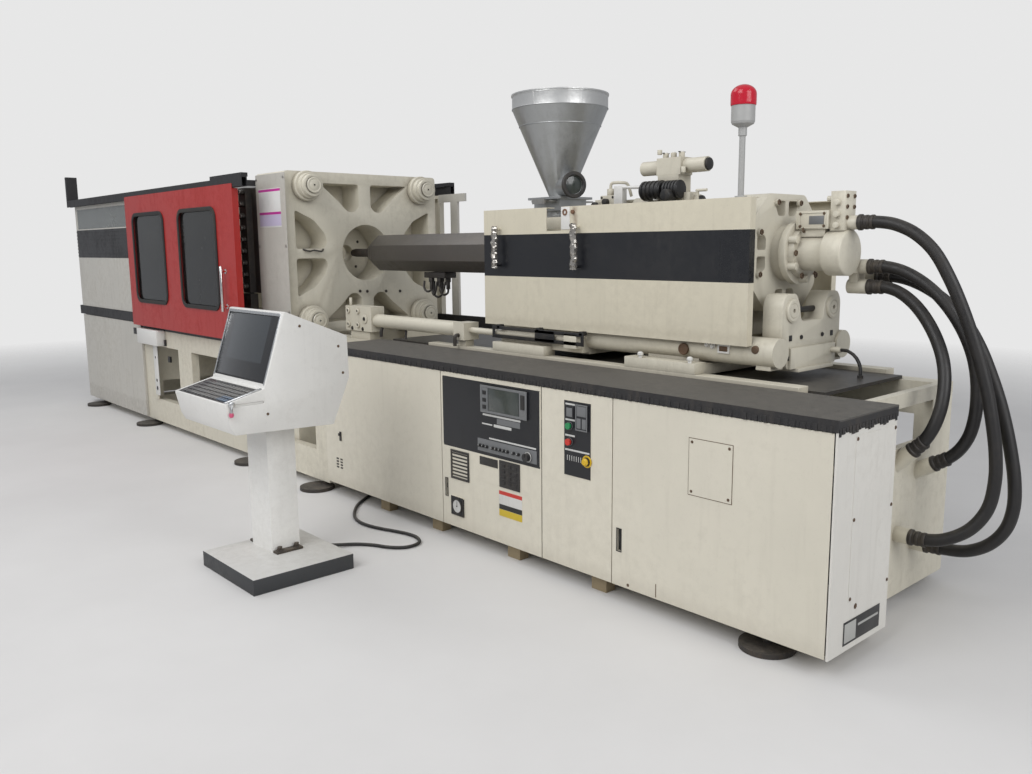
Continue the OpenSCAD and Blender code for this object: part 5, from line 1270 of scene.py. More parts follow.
@dataclass
class CarriageFittings:
    """Fittings on the carriage's tubes, shoes, yoke and cast block."""

    tube_y: float = 0.226
    big_plug: Point = (3.095, 0.2235, 1.067)
    sight_plate: Area = (3.290, 3.336, 1.072, 1.096)
    sight_rim: Area = (3.282, 3.344, 1.064, 1.104)
    small_plug: Pair = (3.474, 1.092)
    tube_bolts: tuple[Pair, ...] = ((3.252, 1.092), (3.222, 1.098))
    shoe_bolt_x: Pair = (2.894, 3.184)
    block_x: float = 3.400
    block_r: float = 0.242
    flange_x: float = 3.520
    flange_r: float = 0.116
    yoke_x: float = 3.548
    boss_z: float = 1.256
    boss_y: float = 0.170
    square_y: float = 0.176
    yoke_screws: tuple[Pair, ...] = ((0.375, 1.047), (0.486, 1.031), (0.475, 1.135), (0.640, 1.031),
                                     (0.755, 1.047), (0.655, 1.135))
    ear_tube_z: Pair = (1.190, 1.250)
    ear_gap: float = 0.118

    def tube_fittings(self) -> None:
        """Adds the plugs, a sight window and bolts to the front tube, and the shoes' bolts."""
        y = self.tube_y
        plug = [(0.0, -0.003), (0.019, -0.003), (0.021, -0.006), (0.026, -0.006), (0.028, -0.002),
                (0.028, 0.004), (0.0, 0.004)]
        forge = Forge().lathe(self.big_plug, Axis.Y, plug, 32)
        forge.tile(self.sight_plate, y, y + 0.012, 0.002)
        forge.stub((self.small_plug[0], y, self.small_plug[1]), Axis.Y, 0.012, 0.018, bevel=0.002)
        forge.done("tube_plugs", Body.CARRIAGE, BROWN)
        light = Forge().bolts([(x, y + 0.006, z) for x, z in self.tube_bolts], Axis.Y, 0.010, -0.012)
        light.frame(rect(*self.sight_rim), y - 0.002, y + 0.013, 0.008, 0.001)
        bolt = [(0.0, 0.0), (0.009, 0.0), (0.009, 0.012), (0.014, 0.016), (0.014, 0.026), (0.008, 0.032),
                (0.0, 0.033)]
        for x in self.shoe_bolt_x:
            light.lathe((x, 0.155, 1.012), Axis.Z, bolt, 18)
        light.done("tube_bolts", Body.CARRIAGE, WHITE)

    def block_bolts(self) -> None:
        """Adds socket screws in the cast block's bosses and the motor's flange."""
        forge = Forge()
        for x, ring, count, first, r in ((self.block_x + 0.014, self.block_r, 8, 22.5, 0.013),
                                         (self.flange_x, self.flange_r, 6, 0.0, 0.014)):
            for k in range(count):
                a = math.radians(first + 360 / count * k)
                forge.socket((x, Y_C + ring * math.cos(a), AXIS_Z + ring * math.sin(a)), r)
        forge.done("block_screws", Body.CARRIAGE, BROWN)

    def yoke_fittings(self) -> None:
        """Adds the bosses' rings, square plugs, screws and the dark tubes between the ears."""
        forge = Forge()
        ring = [(0.0095, 0.0), (0.0095, 0.003), (0.030, 0.003), (0.032, 0.001), (0.034, 0.003),
                (0.046, 0.003), (0.049, 0.0)]
        for y in (Y_C - self.boss_y, Y_C + self.boss_y):
            forge.lathe((self.yoke_x + 0.008, y, self.boss_z), Axis.X, ring, 36, ring=True)
        forge.done("yoke_rings", Body.CARRIAGE, CREAM)
        dark = Forge()
        x = self.yoke_x
        for y in (Y_C - self.square_y, Y_C + self.square_y):
            dark.block((x - 0.008, y - 0.012, 1.123), (x + 0.002, y + 0.012, 1.147), 0.002)
        for y, z in self.yoke_screws:
            dark.socket((x, y, z), 0.010)
        for z in self.ear_tube_z:
            dark.stub((x - 0.060, Y_C - self.ear_gap, z), Axis.Y, 2 * self.ear_gap, 0.014)
        dark.done("yoke_plugs", Body.CARRIAGE, BLACK_PLASTIC)

    def build(self) -> None:
        """Builds the pieces."""
        self.tube_fittings()
        self.block_bolts()
        self.yoke_fittings()


@dataclass
class MotorFittings:
    """Fittings on the hydraulic motor, its terminal box and its hose manifold."""

    drum_x: float = 3.710
    side: float = 0.503
    lid_rim: Area = (3.498, 3.628, 1.612, 1.682)
    lid_window: Area = (3.548, 3.618, 1.628, 1.664)
    lid_screws: tuple[Pair, Pair] = ((3.506, 3.620), (1.620, 1.674))
    manifold_x: float = 3.705
    manifold_y: float = 0.030
    manifold_z: tuple[float, ...] = (1.655, 1.700, 1.745)

    def lid(self) -> None:
        """Caps the drum with a pale disc and frames the terminal box."""
        disc = [(0.0, 0.006), (0.090, 0.006), (0.097, 0.003), (0.099, 0.0), (0.0, 0.0)]
        forge = Forge().lathe((self.drum_x, Y_C, AXIS_Z), Axis.X, disc, 56)
        forge.frame(rect(*self.lid_rim), self.side - 0.003, self.side + 0.001, 0.006, 0.001)
        forge.done("motor_disc", Body.CARRIAGE, CREAM)

    def window(self) -> None:
        """Sets the grey window in the terminal box, and the screws of box and manifold."""
        forge = Forge().tile(self.lid_window, self.side - 0.002, self.side + 0.001, 0.001)
        forge.done("terminal_window", Body.CARRIAGE, GREY_PLASTIC)
        screws = Forge()
        for y in (Y_C - self.manifold_y, Y_C + self.manifold_y):
            for z in self.manifold_z:
                screws.socket((self.manifold_x, y, z), 0.009)
        corners = [(x, self.side - 0.002, z) for x in self.lid_screws[0] for z in self.lid_screws[1]]
        screws.bolts(corners, Axis.Y, 0.005, -0.004)
        screws.done("manifold_screws", Body.CARRIAGE, BROWN)

    def build(self) -> None:
        """Builds the pieces."""
        self.lid()
        self.window()


@dataclass
class HopperFittings:
    """The hopper's sight glass, beads and seams."""

    centre: Pair = (1.940, 0.565)
    bead_rings: tuple[Pair, ...] = ((2.3005, 0.2695), (2.208, 0.2300), (2.368, 0.2695))
    joint_low: Point = (1.998, 0.2995, 2.302)
    joint_high: Point = (2.003, 0.3025, 2.370)
    port_z: float = 1.877
    port_turn: float = 20.0
    port_reach: float = 0.176

    def beads(self) -> None:
        """Adds the rolled beads and the band's joint."""
        forge = Forge()
        for z, r in self.bead_rings:
            bead = [(r, -0.003), (r + 0.0025, -0.002), (r + 0.003, 0.0), (r + 0.0025, 0.002), (r, 0.003)]
            forge.lathe((*self.centre, z), Axis.Z, bead, 96, ring=True)
        forge.block(self.joint_low, self.joint_high, 0.001)
        forge.done("hopper_beads", Body.CARRIAGE, HOPPER)

    def sight_glass(self) -> None:
        """Adds the sight port's black ring and its glass."""
        away = Vector((1.0, -math.tan(math.radians(self.port_turn)), 0.0)).normalized()
        start = Vector((*self.centre, self.port_z)) + away * self.port_reach
        ring = Forge().ring_rod(start, start + away * 0.016, 0.051, 0.073)
        ring.done("sight_ring", Body.CARRIAGE, BLACK_PLASTIC)
        glass = Forge().rod(start - away * 0.006, start, 0.0515, bevel=0.001)
        glass.done("sight_glass", Body.CARRIAGE, SCREEN_GLASS)

    def build(self) -> None:
        """Builds the pieces."""
        self.beads()
        self.sight_glass()


@dataclass
class ValveFittings:
    """Coils, caps and levers of the valves on the injection cylinder."""

    coil_y: float = 0.478
    coil_z: float = 1.815
    coil_runs: tuple[Point, ...] = ((2.630, 2.760, 0.044), (2.775, 2.868, 0.040))
    coil_ribs: int = 5
    caps: tuple[Point, ...] = ((2.556, 2.562, 1.933), (2.958, 2.972, 1.933), (2.918, 2.934, 1.755))
    lever: tuple[Point, ...] = ((2.478, 0.470, 1.842), (2.56, 0.470, 1.838), (2.66, 0.470, 1.834),
                                (2.706, 0.470, 1.832), (2.716, 0.470, 1.815), (2.716, 0.470, 1.772))
    top_screw_x: tuple[float, ...] = (2.700, 2.750, 2.800)
    small_low: Point = (2.330, 0.478, 1.742)
    small_high: Point = (2.432, 0.556, 1.806)
    small_y: float = 0.517
    union: tuple[Point, ...] = ((2.372, 0.517, 1.838), (2.372, 0.517, 1.862), (2.384, 0.520, 1.872),
                                (2.430, 0.535, 1.872), (2.452, 0.560, 1.862), (2.462, 0.580, 1.800))

    def coils(self) -> None:
        """Adds the black ribbed coils and the spool caps."""
        forge = Forge()
        y, z = self.coil_y, self.coil_z
        for x0, x1, r in self.coil_runs:
            forge.rod((x0, y, z), (x1, y, z), r, bevel=0.004)
            for k in range(self.coil_ribs):
                x = x0 + (x1 - x0) * (k + 0.5) / self.coil_ribs
                forge.rod((x - 0.006, y, z), (x + 0.006, y, z), r + 0.005, bevel=0.002)
        forge.stub((2.820, y, z - 0.030), Axis.Y, -0.070, 0.030, bevel=0.004)
        for x0, x1, cap_z in self.caps:
            forge.rod((x0, Y_C, cap_z), (x1, Y_C, cap_z), 0.030, bevel=0.003)
        forge.stub((2.310, 0.470, 1.753), Axis.Y, -0.022, 0.021, bevel=0.003)
        forge.done("valve_coils", Body.CARRIAGE, BLACK_PLASTIC)

    def levers(self) -> None:
        """Adds the white lever, its pipe and small screws."""
        forge = Forge().pipe(self.lever, 0.008)
        forge.block((2.440, 0.462, 1.755), (2.500, 0.500, 1.850), 0.004)
        x, y, _ = self.lever[-1]
        forge.lathe((x, y, 1.766), Axis.Z, band(0.0, 0.014, 0.0, 0.012), 18)
        for x in self.top_screw_x:
            forge.stub((x, Y_C, 2.001), Axis.Z, 0.005, 0.009, bevel=0.001)
        forge.done("valve_levers", Body.CARRIAGE, WHITE)

    def small_valve(self) -> None:
        """Adds the small valve beside the lever, with its unions and screws."""
        y = self.small_y
        forge = Forge().block(self.small_low, self.small_high, 0.004)
        forge.stub((2.372, y, 1.803), Axis.Z, 0.039, 0.020, bevel=0.003)
        forge.stub((2.410, y, 1.803), Axis.Z, 0.025, 0.013, 6, 0.002)
        forge.pipe(self.union, 0.008)
        forge.stub((2.298, y, 1.772), Axis.X, 0.034, 0.017, 6, 0.002)
        forge.block((2.862, 0.500, 1.745), (2.902, 0.536, 1.800), 0.003)
        forge.stub((2.660, Y_C, 1.998), Axis.Z, 0.024, 0.013, 6, 0.002)
        forge.stub((2.850, Y_C - 0.05, 1.895), Axis.Z, 0.030, 0.012, bevel=0.002)
        forge.done("small_valve", Body.CARRIAGE, CREAM)
        front = self.small_low[1]
        screws = [(x, front, z) for x in (2.342, 2.420) for z in (1.754, 1.795)]
        dark = Forge().bolts(screws, Axis.Y, 0.005, -0.004)
        dark.stub((2.380, front + 0.002, 1.772), Axis.Y, -0.028, 0.017, bevel=0.003)
        for x in (self.top_screw_x[0], self.top_screw_x[-1]):
            for y in (Y_C - 0.020, Y_C + 0.020):
                dark.stub((x, y, 2.000), Axis.Z, 0.004, 0.006, 6)
        dark.done("small_valve_screws", Body.CARRIAGE, BLACK_PLASTIC)

    def build(self) -> None:
        """Builds the pieces."""
        self.coils()
        self.levers()
        self.small_valve()


@dataclass
class TraverseFittings:
    """Screws and pipe fittings on the traverse cylinder."""

    front: float = 0.143
    boss_x: Pair = (0.300, 0.420)
    boss_z: Pair = (1.025, 1.118)
    hub: Pair = (0.500, 1.070)
    low_screw_x: Pair = (0.340, 0.470)
    pipes: tuple[tuple[float, tuple[Point, ...]], ...] = (
        (0.011, ((1.520, 0.150, 1.030), (1.520, 0.122, 1.030), (1.520, 0.112, 1.018), (1.520, 0.110, 0.968))),
        (0.011, ((0.640, 0.190, 1.018), (0.640, 0.180, 0.990), (0.640, 0.178, 0.956))),
        (0.008, ((0.900, 0.200, 1.018), (0.900, 0.195, 0.985), (0.905, 0.190, 0.956))))

    def build(self) -> None:
        """Builds the pieces."""
        forge = Forge()
        bosses = [(x, z) for x in self.boss_x for z in self.boss_z]
        for x, z in bosses:
            forge.collar((x, self.front + 0.001, z), Axis.Y, -0.013, 0.009, 0.019)
        forge.stub((self.hub[0], self.front + 0.001, self.hub[1]), Axis.Y, -0.007, 0.032, bevel=0.002)
        forge.stub((self.boss_x[0], self.front + 0.02, 1.152), Axis.Z, 0.053, 0.010, bevel=0.002)
        forge.done("traverse_bosses", Body.MACHINE, CREAM)
        dark = Forge().bolts([(x, self.front - 0.001, z) for x, z in bosses], Axis.Y, 0.006, -0.009)
        screws = [(self.hub[0], self.front - 0.006, self.hub[1])]
        screws += [(x, self.front, 1.000) for x in self.low_screw_x]
        dark.bolts(screws, Axis.Y, 0.010, -0.006)
        for radius, points in self.pipes:
            dark.pipe(points, radius)
        dark.done("traverse_fittings", Body.MACHINE, FITTINGS)


@dataclass
class ProbeBundle:
    """The dark bundle of plugs and pipes that hangs below the barrel's shroud."""

    middle: float = 0.790
    top: float = 1.372
    half: Pair = (0.115, 0.050)
    plugs: tuple[Pair, ...] = ((-0.095, 0.0), (-0.055, -0.030), (-0.015, 0.025), (0.030, -0.025),
                               (0.075, 0.010))

    def build(self) -> None:
        """Builds the pieces."""
        dx, dy = self.half
        forge = Forge().block((self.middle - dx, Y_C - dy, self.top - 0.034),
                              (self.middle + dx, Y_C + dy, self.top + 0.004), 0.004)
        for k, (dx, dy) in enumerate(self.plugs):
            x, y, z = self.middle + dx, Y_C + dy, self.top - 0.032
            low = z - 0.060 - 0.018 * (k % 3)
            forge.rod((x, y, z), (x, y, z - 0.030), 0.021, 6, 0.002)
            forge.rod((x, y, z - 0.028), (x, y, low), 0.014, bevel=0.002)
            side = 0.040 if k % 2 else -0.036
            forge.pipe([(x, y, low + 0.004), (x + side * 0.2, y, low - 0.025),
                        (x + side, y - 0.012, low - 0.038), (x + side * 1.7, y - 0.020, low - 0.012),
                        (x + side * 1.9, y - 0.010, z - 0.026)], 0.0075)
        forge.done("probe_bundle", Body.CARRIAGE, FITTINGS)


@dataclass
class ControlDoor:
    """The control door's display, label strips, knobs, plates and dial."""

    front: float = -0.307
    display_y: float = -0.315
    display_area: Area = (2.262, 2.602, 0.731, 0.869)
    side_plates: tuple[Area, ...] = ((2.268, 2.318, 0.737, 0.863), (2.548, 2.598, 0.737, 0.863))
    glass_area: Area = (2.322, 2.544, 0.742, 0.858)
    key_z: tuple[float, ...] = (0.760, 0.795, 0.832)
    pale_strips: tuple[Area, ...] = ((2.268, 2.548, 0.714, 0.724), (2.262, 2.340, 0.668, 0.675),
                                     (2.352, 2.482, 0.664, 0.678), (2.315, 2.655, 0.598, 0.606))
    grey_fields: tuple[Area, ...] = ((2.376, 2.545, 0.682, 0.711), (2.225, 2.660, 0.528, 0.592))
    knob_x: tuple[float, ...] = (2.245, 2.272, 2.300, 2.345, 2.372, 2.400, 2.428, 2.456, 2.500, 2.535)
    knob_z: float = 0.556
    selector_x: float = 2.604
    vent: Area = (2.001, 2.151, 0.341, 0.497)
    vent_bars: int = 7
    vent_pitch: float = 0.019
    plate_areas: tuple[Area, ...] = ((2.240, 2.378, 0.458, 0.500), (2.390, 2.540, 0.369, 0.505))
    pads: tuple[int, int] = (3, 4)
    pad_pitch: Pair = (0.044, 0.029)
    sticker: Area = (2.384, 2.552, 0.220, 0.349)
    dial: Pair = (2.053, 0.196)
    dial_y: float = -0.312
    dial_half: float = 0.051

    def display(self) -> None:
        """Frames the display and sets its glass and keys."""
        y = self.display_y
        bezel = Forge().frame(rect(*self.display_area), y - 0.004, y + 0.001, 0.012, 0.002)
        for area in self.side_plates:
            bezel.tile(area, y - 0.002, y + 0.001, 0.001)
        bezel.done("display_bezel", Body.CONTROL_DOOR, GREY_PLASTIC)
        glass = Forge().tile(self.glass_area, y - 0.001, y + 0.001, 0.002)
        glass.done("display_glass", Body.CONTROL_DOOR, SCREEN_GLASS)
        keys = Forge()
        for z in self.key_z:
            keys.tile((2.280, 2.306, z - 0.010, z + 0.010), y - 0.006, y - 0.001, 0.002)
        keys.tile((2.560, 2.588, 0.780, 0.850), y - 0.006, y - 0.001, 0.002)
        keys.done("display_keys", Body.CONTROL_DOOR, BLACK_PLASTIC)

    def strips(self) -> None:
        """Lays the bare pale label strips and the grey fields under the display."""
        for name, areas, finish in (("label_strips", self.pale_strips, LABEL),
                                    ("label_fields", self.grey_fields, GREY_PLASTIC)):
            forge = Forge()
            for area in areas:
                forge.tile(area, self.front - 0.0012, self.front + 0.0004, PRINT_EDGE)
            forge.done(name, Body.CONTROL_DOOR, finish)

    def knobs(self) -> None:
        """Sets the row of small knobs and the big selector's collar."""
        forge, pale = Forge(), Forge()
        y, z = self.front, self.knob_z
        knob = [(0.0, -0.014), (0.006, -0.014), (0.007, -0.012), (0.007, -0.004), (0.009, -0.003),
                (0.009, 0.0), (0.0, 0.0)]
        for x in self.knob_x:
            forge.lathe((x, y, z), Axis.Y, knob, 16)
            pale.tile((x - 0.0012, x + 0.0012, z, z + 0.006), y - 0.0155, y - 0.0138, PRINT_EDGE)
        forge.done("small_knobs", Body.CONTROL_DOOR, BLACK_PLASTIC)
        pale.collar((self.selector_x, y - 0.006, z), Axis.Y, -0.0025, 0.021, 0.0245)
        pale.done("knob_marks", Body.CONTROL_DOOR, LABEL)

    def vents(self) -> None:
        """Adds the louvred vent, the two dark plates and the pads on one of them."""
        y = self.front
        forge = Forge().frame(rect(*self.vent), y - 0.004, y + 0.001, 0.012, 0.001)
        for k in range(self.vent_bars):
            z = 0.360 + k * self.vent_pitch
            forge.tile((2.014, 2.138, z, z + 0.008), y - 0.003, y + 0.001, 0.001)
        for area in self.plate_areas:
            forge.tile(area, y - 0.003, y + 0.001, 0.001)
        for k in range(self.pads[0]):
            for j in range(self.pads[1]):
                dx, dz = k * self.pad_pitch[0], j * self.pad_pitch[1]
                forge.tile((2.404 + dx, 2.434 + dx, 0.386 + dz, 0.402 + dz), y - 0.006, y - 0.002, 0.001)
        forge.done("vent_plates", Body.CONTROL_DOOR, DARK_PLASTIC)

    def sticker_field(self) -> None:
        """Lays the bare field that stands for the notice."""
        forge = Forge().tile(self.sticker, self.front + 0.0006, self.front + 0.0021, PRINT_EDGE)
        forge.done("door_sticker", Body.CONTROL_DOOR, STICKER)

    def meter(self) -> None:
        """Adds the round dial with its hand, rim and square frame."""
        x, z = self.dial
        y = self.dial_y
        face = Forge().lathe((x, y - 0.001, z), Axis.Y, band(0.0, 0.034, -0.002, 0.0), 40)
        face.done("dial_face", Body.CONTROL_DOOR, LABEL)
        rim = Forge().collar((x, y, z), Axis.Y, -0.007, 0.034, 0.041)
        rim.tile((x - 0.0005, x + 0.0015, z, z + 0.026), y - 0.0045, y - 0.0028, PRINT_EDGE)
        rim.stub((x, y - 0.0028, z), Axis.Y, -0.0024, 0.004)
        half = self.dial_half
        rim.frame(rect(x - half, x + half, z - half, z + half), y - 0.0025, y, 0.006, 0.001)
        rim.done("dial_rim", Body.CONTROL_DOOR, BLACK_PLASTIC)

    def build(self) -> None:
        """Builds the pieces."""
        self.display()
        self.strips()
        self.knobs()
        self.vents()
        self.sticker_field()
        self.meter()


@dataclass
class ButtonPanel:
    """The fixed panel's meters, label strips and the yellow knob with its collar."""

    face: float = -0.308
    strips: tuple[Point, ...] = ((2.852, 2.910, 0.846), (2.852, 2.910, 0.775), (2.850, 2.910, 0.703),
                                 (2.850, 3.000, 0.637))
    marks: int = 7
    meter_y: float = -0.3165
    meter_area: Area = (2.922, 2.994, 0.734, 0.853)
    meter_fields: tuple[Area, ...] = ((2.930, 2.986, 0.800, 0.845), (2.930, 2.954, 0.745, 0.790),
                                      (2.962, 2.986, 0.745, 0.790))
    lamp_area: Area = (2.862, 2.898, 0.790, 0.830)
    button_x: float = 2.880
    button_z: Pair = (0.748, 0.675)
    knob: Pair = (2.985, 0.600)

    def prints(self) -> None:
        """Lays the bare pale strips and the row of marks."""
        y0, y1 = self.face - 0.0012, self.face + 0.0003
        forge = Forge()
        for x0, x1, z in self.strips:
            forge.tile((x0, x1, z - 0.004, z + 0.004), y0, y1, PRINT_EDGE)
        for x in (2.862 + 0.014 * k for k in range(self.marks)):
            forge.tile((x, x + 0.003, 0.588, 0.612), y0, y1, PRINT_EDGE)
        forge.done("panel_strips", Body.MACHINE, LABEL)

    def meters(self) -> None:
        """Adds the meter's frame and fields, the lamp's field and the rings round the buttons."""
        y = self.meter_y
        forge = Forge().frame(rect(*self.meter_area), y - 0.002, y, 0.006, 0.001)
        for area in self.meter_fields:
            forge.tile(area, y - 0.0013, y - 0.0003, 0.0005)
        forge.tile(self.lamp_area, y + 0.002, y + 0.004, 0.0005)
        for z in self.button_z:
            forge.collar((self.button_x, self.face - 0.0028, z), Axis.Y, -0.002, 0.0162, 0.0182)
        forge.done("panel_meters", Body.MACHINE, GREY_PLASTIC)

    def yellow_knob(self) -> None:
        """Adds the yellow knob and the collar behind it."""
        x, z = self.knob
        collar = Forge().collar((x, self.face + 0.0005, z), Axis.Y, -0.003, 0.0195, 0.028)
        collar.done("yellow_collar", Body.MACHINE, YELLOW)
        profile = [(0.0, -0.012), (0.012, -0.012), (0.017, -0.006), (0.017, 0.0), (0.0, 0.0)]
        knob = Forge().lathe((x, self.face - 0.011, z), Axis.Y, profile, 24)
        knob.done("panel_knob", Body.MACHINE, YELLOW)

    def build(self) -> None:
        """Builds the pieces."""
        self.prints()
        self.meters()
        self.yellow_knob()


@dataclass(frozen=True)
class FingerSlot:
    """The place and size of a door's finger slot."""

    name: str
    x: float
    z: float
    wide: float
    high: float
    body: Body

    def grown(self, by: float) -> Area:
        """Returns the slot's area with a margin all round."""
        return (self.x - self.wide / 2 - by, self.x + self.wide / 2 + by,
                self.z - self.high / 2 - by, self.z + self.high / 2 + by)


def wave(k: int, speed: float, least: float, swing: float, start: float = 0.0) -> float:
    """Returns a size that goes up and down between least and least + swing with k."""
    return least + swing * (0.5 + 0.5 * math.sin(k * speed + start))


@dataclass
class CabinetTrim:
    """The cabinets' screws, latches, slots, end plate and the mat's ragged edge."""

    front: float = PANEL_Y
    end: float = X_END
    latch: Area = (0.876, 0.896, 0.362, 0.420)
    latch_key: Area = (0.880, 0.892, 0.395, 0.412)
    grille_x: Pair = (0.826, 0.872)
    grille_slits: int = 4
    slots: tuple[FingerSlot, ...] = (
        FingerSlot("control_slot", 1.958, 0.283, 0.020, 0.096, Body.CONTROL_DOOR),
        FingerSlot("main_slot", 3.174, 0.286, 0.024, 0.100, Body.MAIN_DOOR))
    cover: Area = (3.5345, 3.7415, 0.5635, 0.7965)
    cover_screws: tuple[Pair, Pair] = ((3.551, 3.725), (0.580, 0.780))
    end_screws: tuple[Sequence[float], Sequence[float]] = ((-0.166, 0.119), (0.272, 0.570, 0.866))
    mat_start: float = 0.716
    mat_low: float = 0.907
    mat_back: Pair = (-0.300, 0.130)

    def left_door(self) -> None:
        """Adds the left door's latch and its small grille."""
        y = self.front
        forge = Forge().tile(self.latch, y - 0.006, y + 0.001, 0.002)
        forge.tile(self.latch_key, y - 0.016, y - 0.005, 0.002)
        for x in self.grille_x:
            for z in (0.184 + 0.018 * k for k in range(self.grille_slits)):
                forge.tile((x, x + 0.026, z, z + 0.010), y - 0.0015, y + 0.0005, 0.0004)
        forge.done("left_latch", Body.LEFT_DOOR, DARK_PLASTIC)

    def finger_slots(self) -> None:
        """Lines the finger slots with dark cups."""
        y = self.front
        for slot in self.slots:
            forge = Forge().tile(slot.grown(-0.0003), y + 0.012, y + 0.0199, 0.0008)
            forge.frame(rect(*slot.grown(0.003)), y - 0.002, y + 0.0002, 0.0038, 0.0005)
            catch = (slot.x - 0.004, slot.x + 0.004, slot.z - 0.006, slot.z + 0.020)
            forge.tile(catch, y + 0.004, y + 0.013, 0.001)
            forge.done(slot.name, slot.body, BLACK_PLASTIC)

    def main_cover(self) -> None:
        """Adds the square cover's screws and seam, and the small hole and slit below."""
        y = self.front
        screws = [(x, y - 0.002, z) for x in self.cover_screws[0] for z in self.cover_screws[1]]
        forge = Forge().bolts(screws, Axis.Y, 0.0045, -0.003)
        forge.frame(rect(*self.cover), y - 0.001, y + 0.0002, 0.0022)
        forge.stub((3.227, y - 0.001, 0.095), Axis.Y, 0.0012, 0.007)
        forge.tile((3.378, 3.382, 0.086, 0.144), y - 0.0008, y + 0.0002)
        forge.done("main_cover_screws", Body.MAIN_DOOR, BROWN)

    def end_plate(self) -> None:
        """Adds the end cover's screws and the black plate with bare pale fields."""
        x = self.end
        screws = [(x, y, z) for y in self.end_screws[0] for z in self.end_screws[1]]
        forge = Forge().bolts(screws, Axis.X, 0.0055, 0.003)
        forge.bolts([(x - 0.002, -0.118, 0.232)], Axis.X, 0.008, 0.003)
        forge.done("end_screws", Body.MACHINE, BROWN)
        plate = Forge().block((x - 0.0012, -0.202, 0.100), (x + 0.0006, 0.072, 0.190), 0.0006)
        plate.done("end_plate", Body.MACHINE, END_PLATE)

    def mat_edge(self) -> None:
        """Adds the mat's torn edge: a row of small lumps along the front and teeth at the end."""
        forge = Forge()
        x, k = self.mat_start, 0
        while x < self.end - 0.02:
            wide, drop = wave(k, 2.39, 0.010, 0.012), wave(k, 1.7, 0.0015, 0.0020, 1.0)
            out = wave(k, 3.1, 0.0010, 0.0016)
            forge.block((x, self.front - 0.004 - out, self.mat_low - drop),
                        (x + wide, self.front - 0.0037, self.mat_low + 0.017 + 2 * drop), 0.0008, 1)
            x += wide + wave(k, 0.9, 0.004, 0.010)
            k += 1
        y = self.mat_back[0]
        while y < self.mat_back[1]:
            wide, drop = wave(k, 2.1, 0.012, 0.010), wave(k, 1.3, 0.006, 0.012)
            forge.block((self.end - 0.0008, y, self.mat_low + 0.0005 - drop),
                        (self.end + 0.0022, y + wide, self.mat_low + 0.013), 0.0008, 1)
            y += wide + 0.006
            k += 1
        forge.done("mat_edge", Body.MACHINE, MAT)

    def build(self) -> None:
        """Builds the pieces."""
        self.left_door()
        self.finger_slots()
        self.main_cover()
        self.end_plate()
        self.mat_edge()


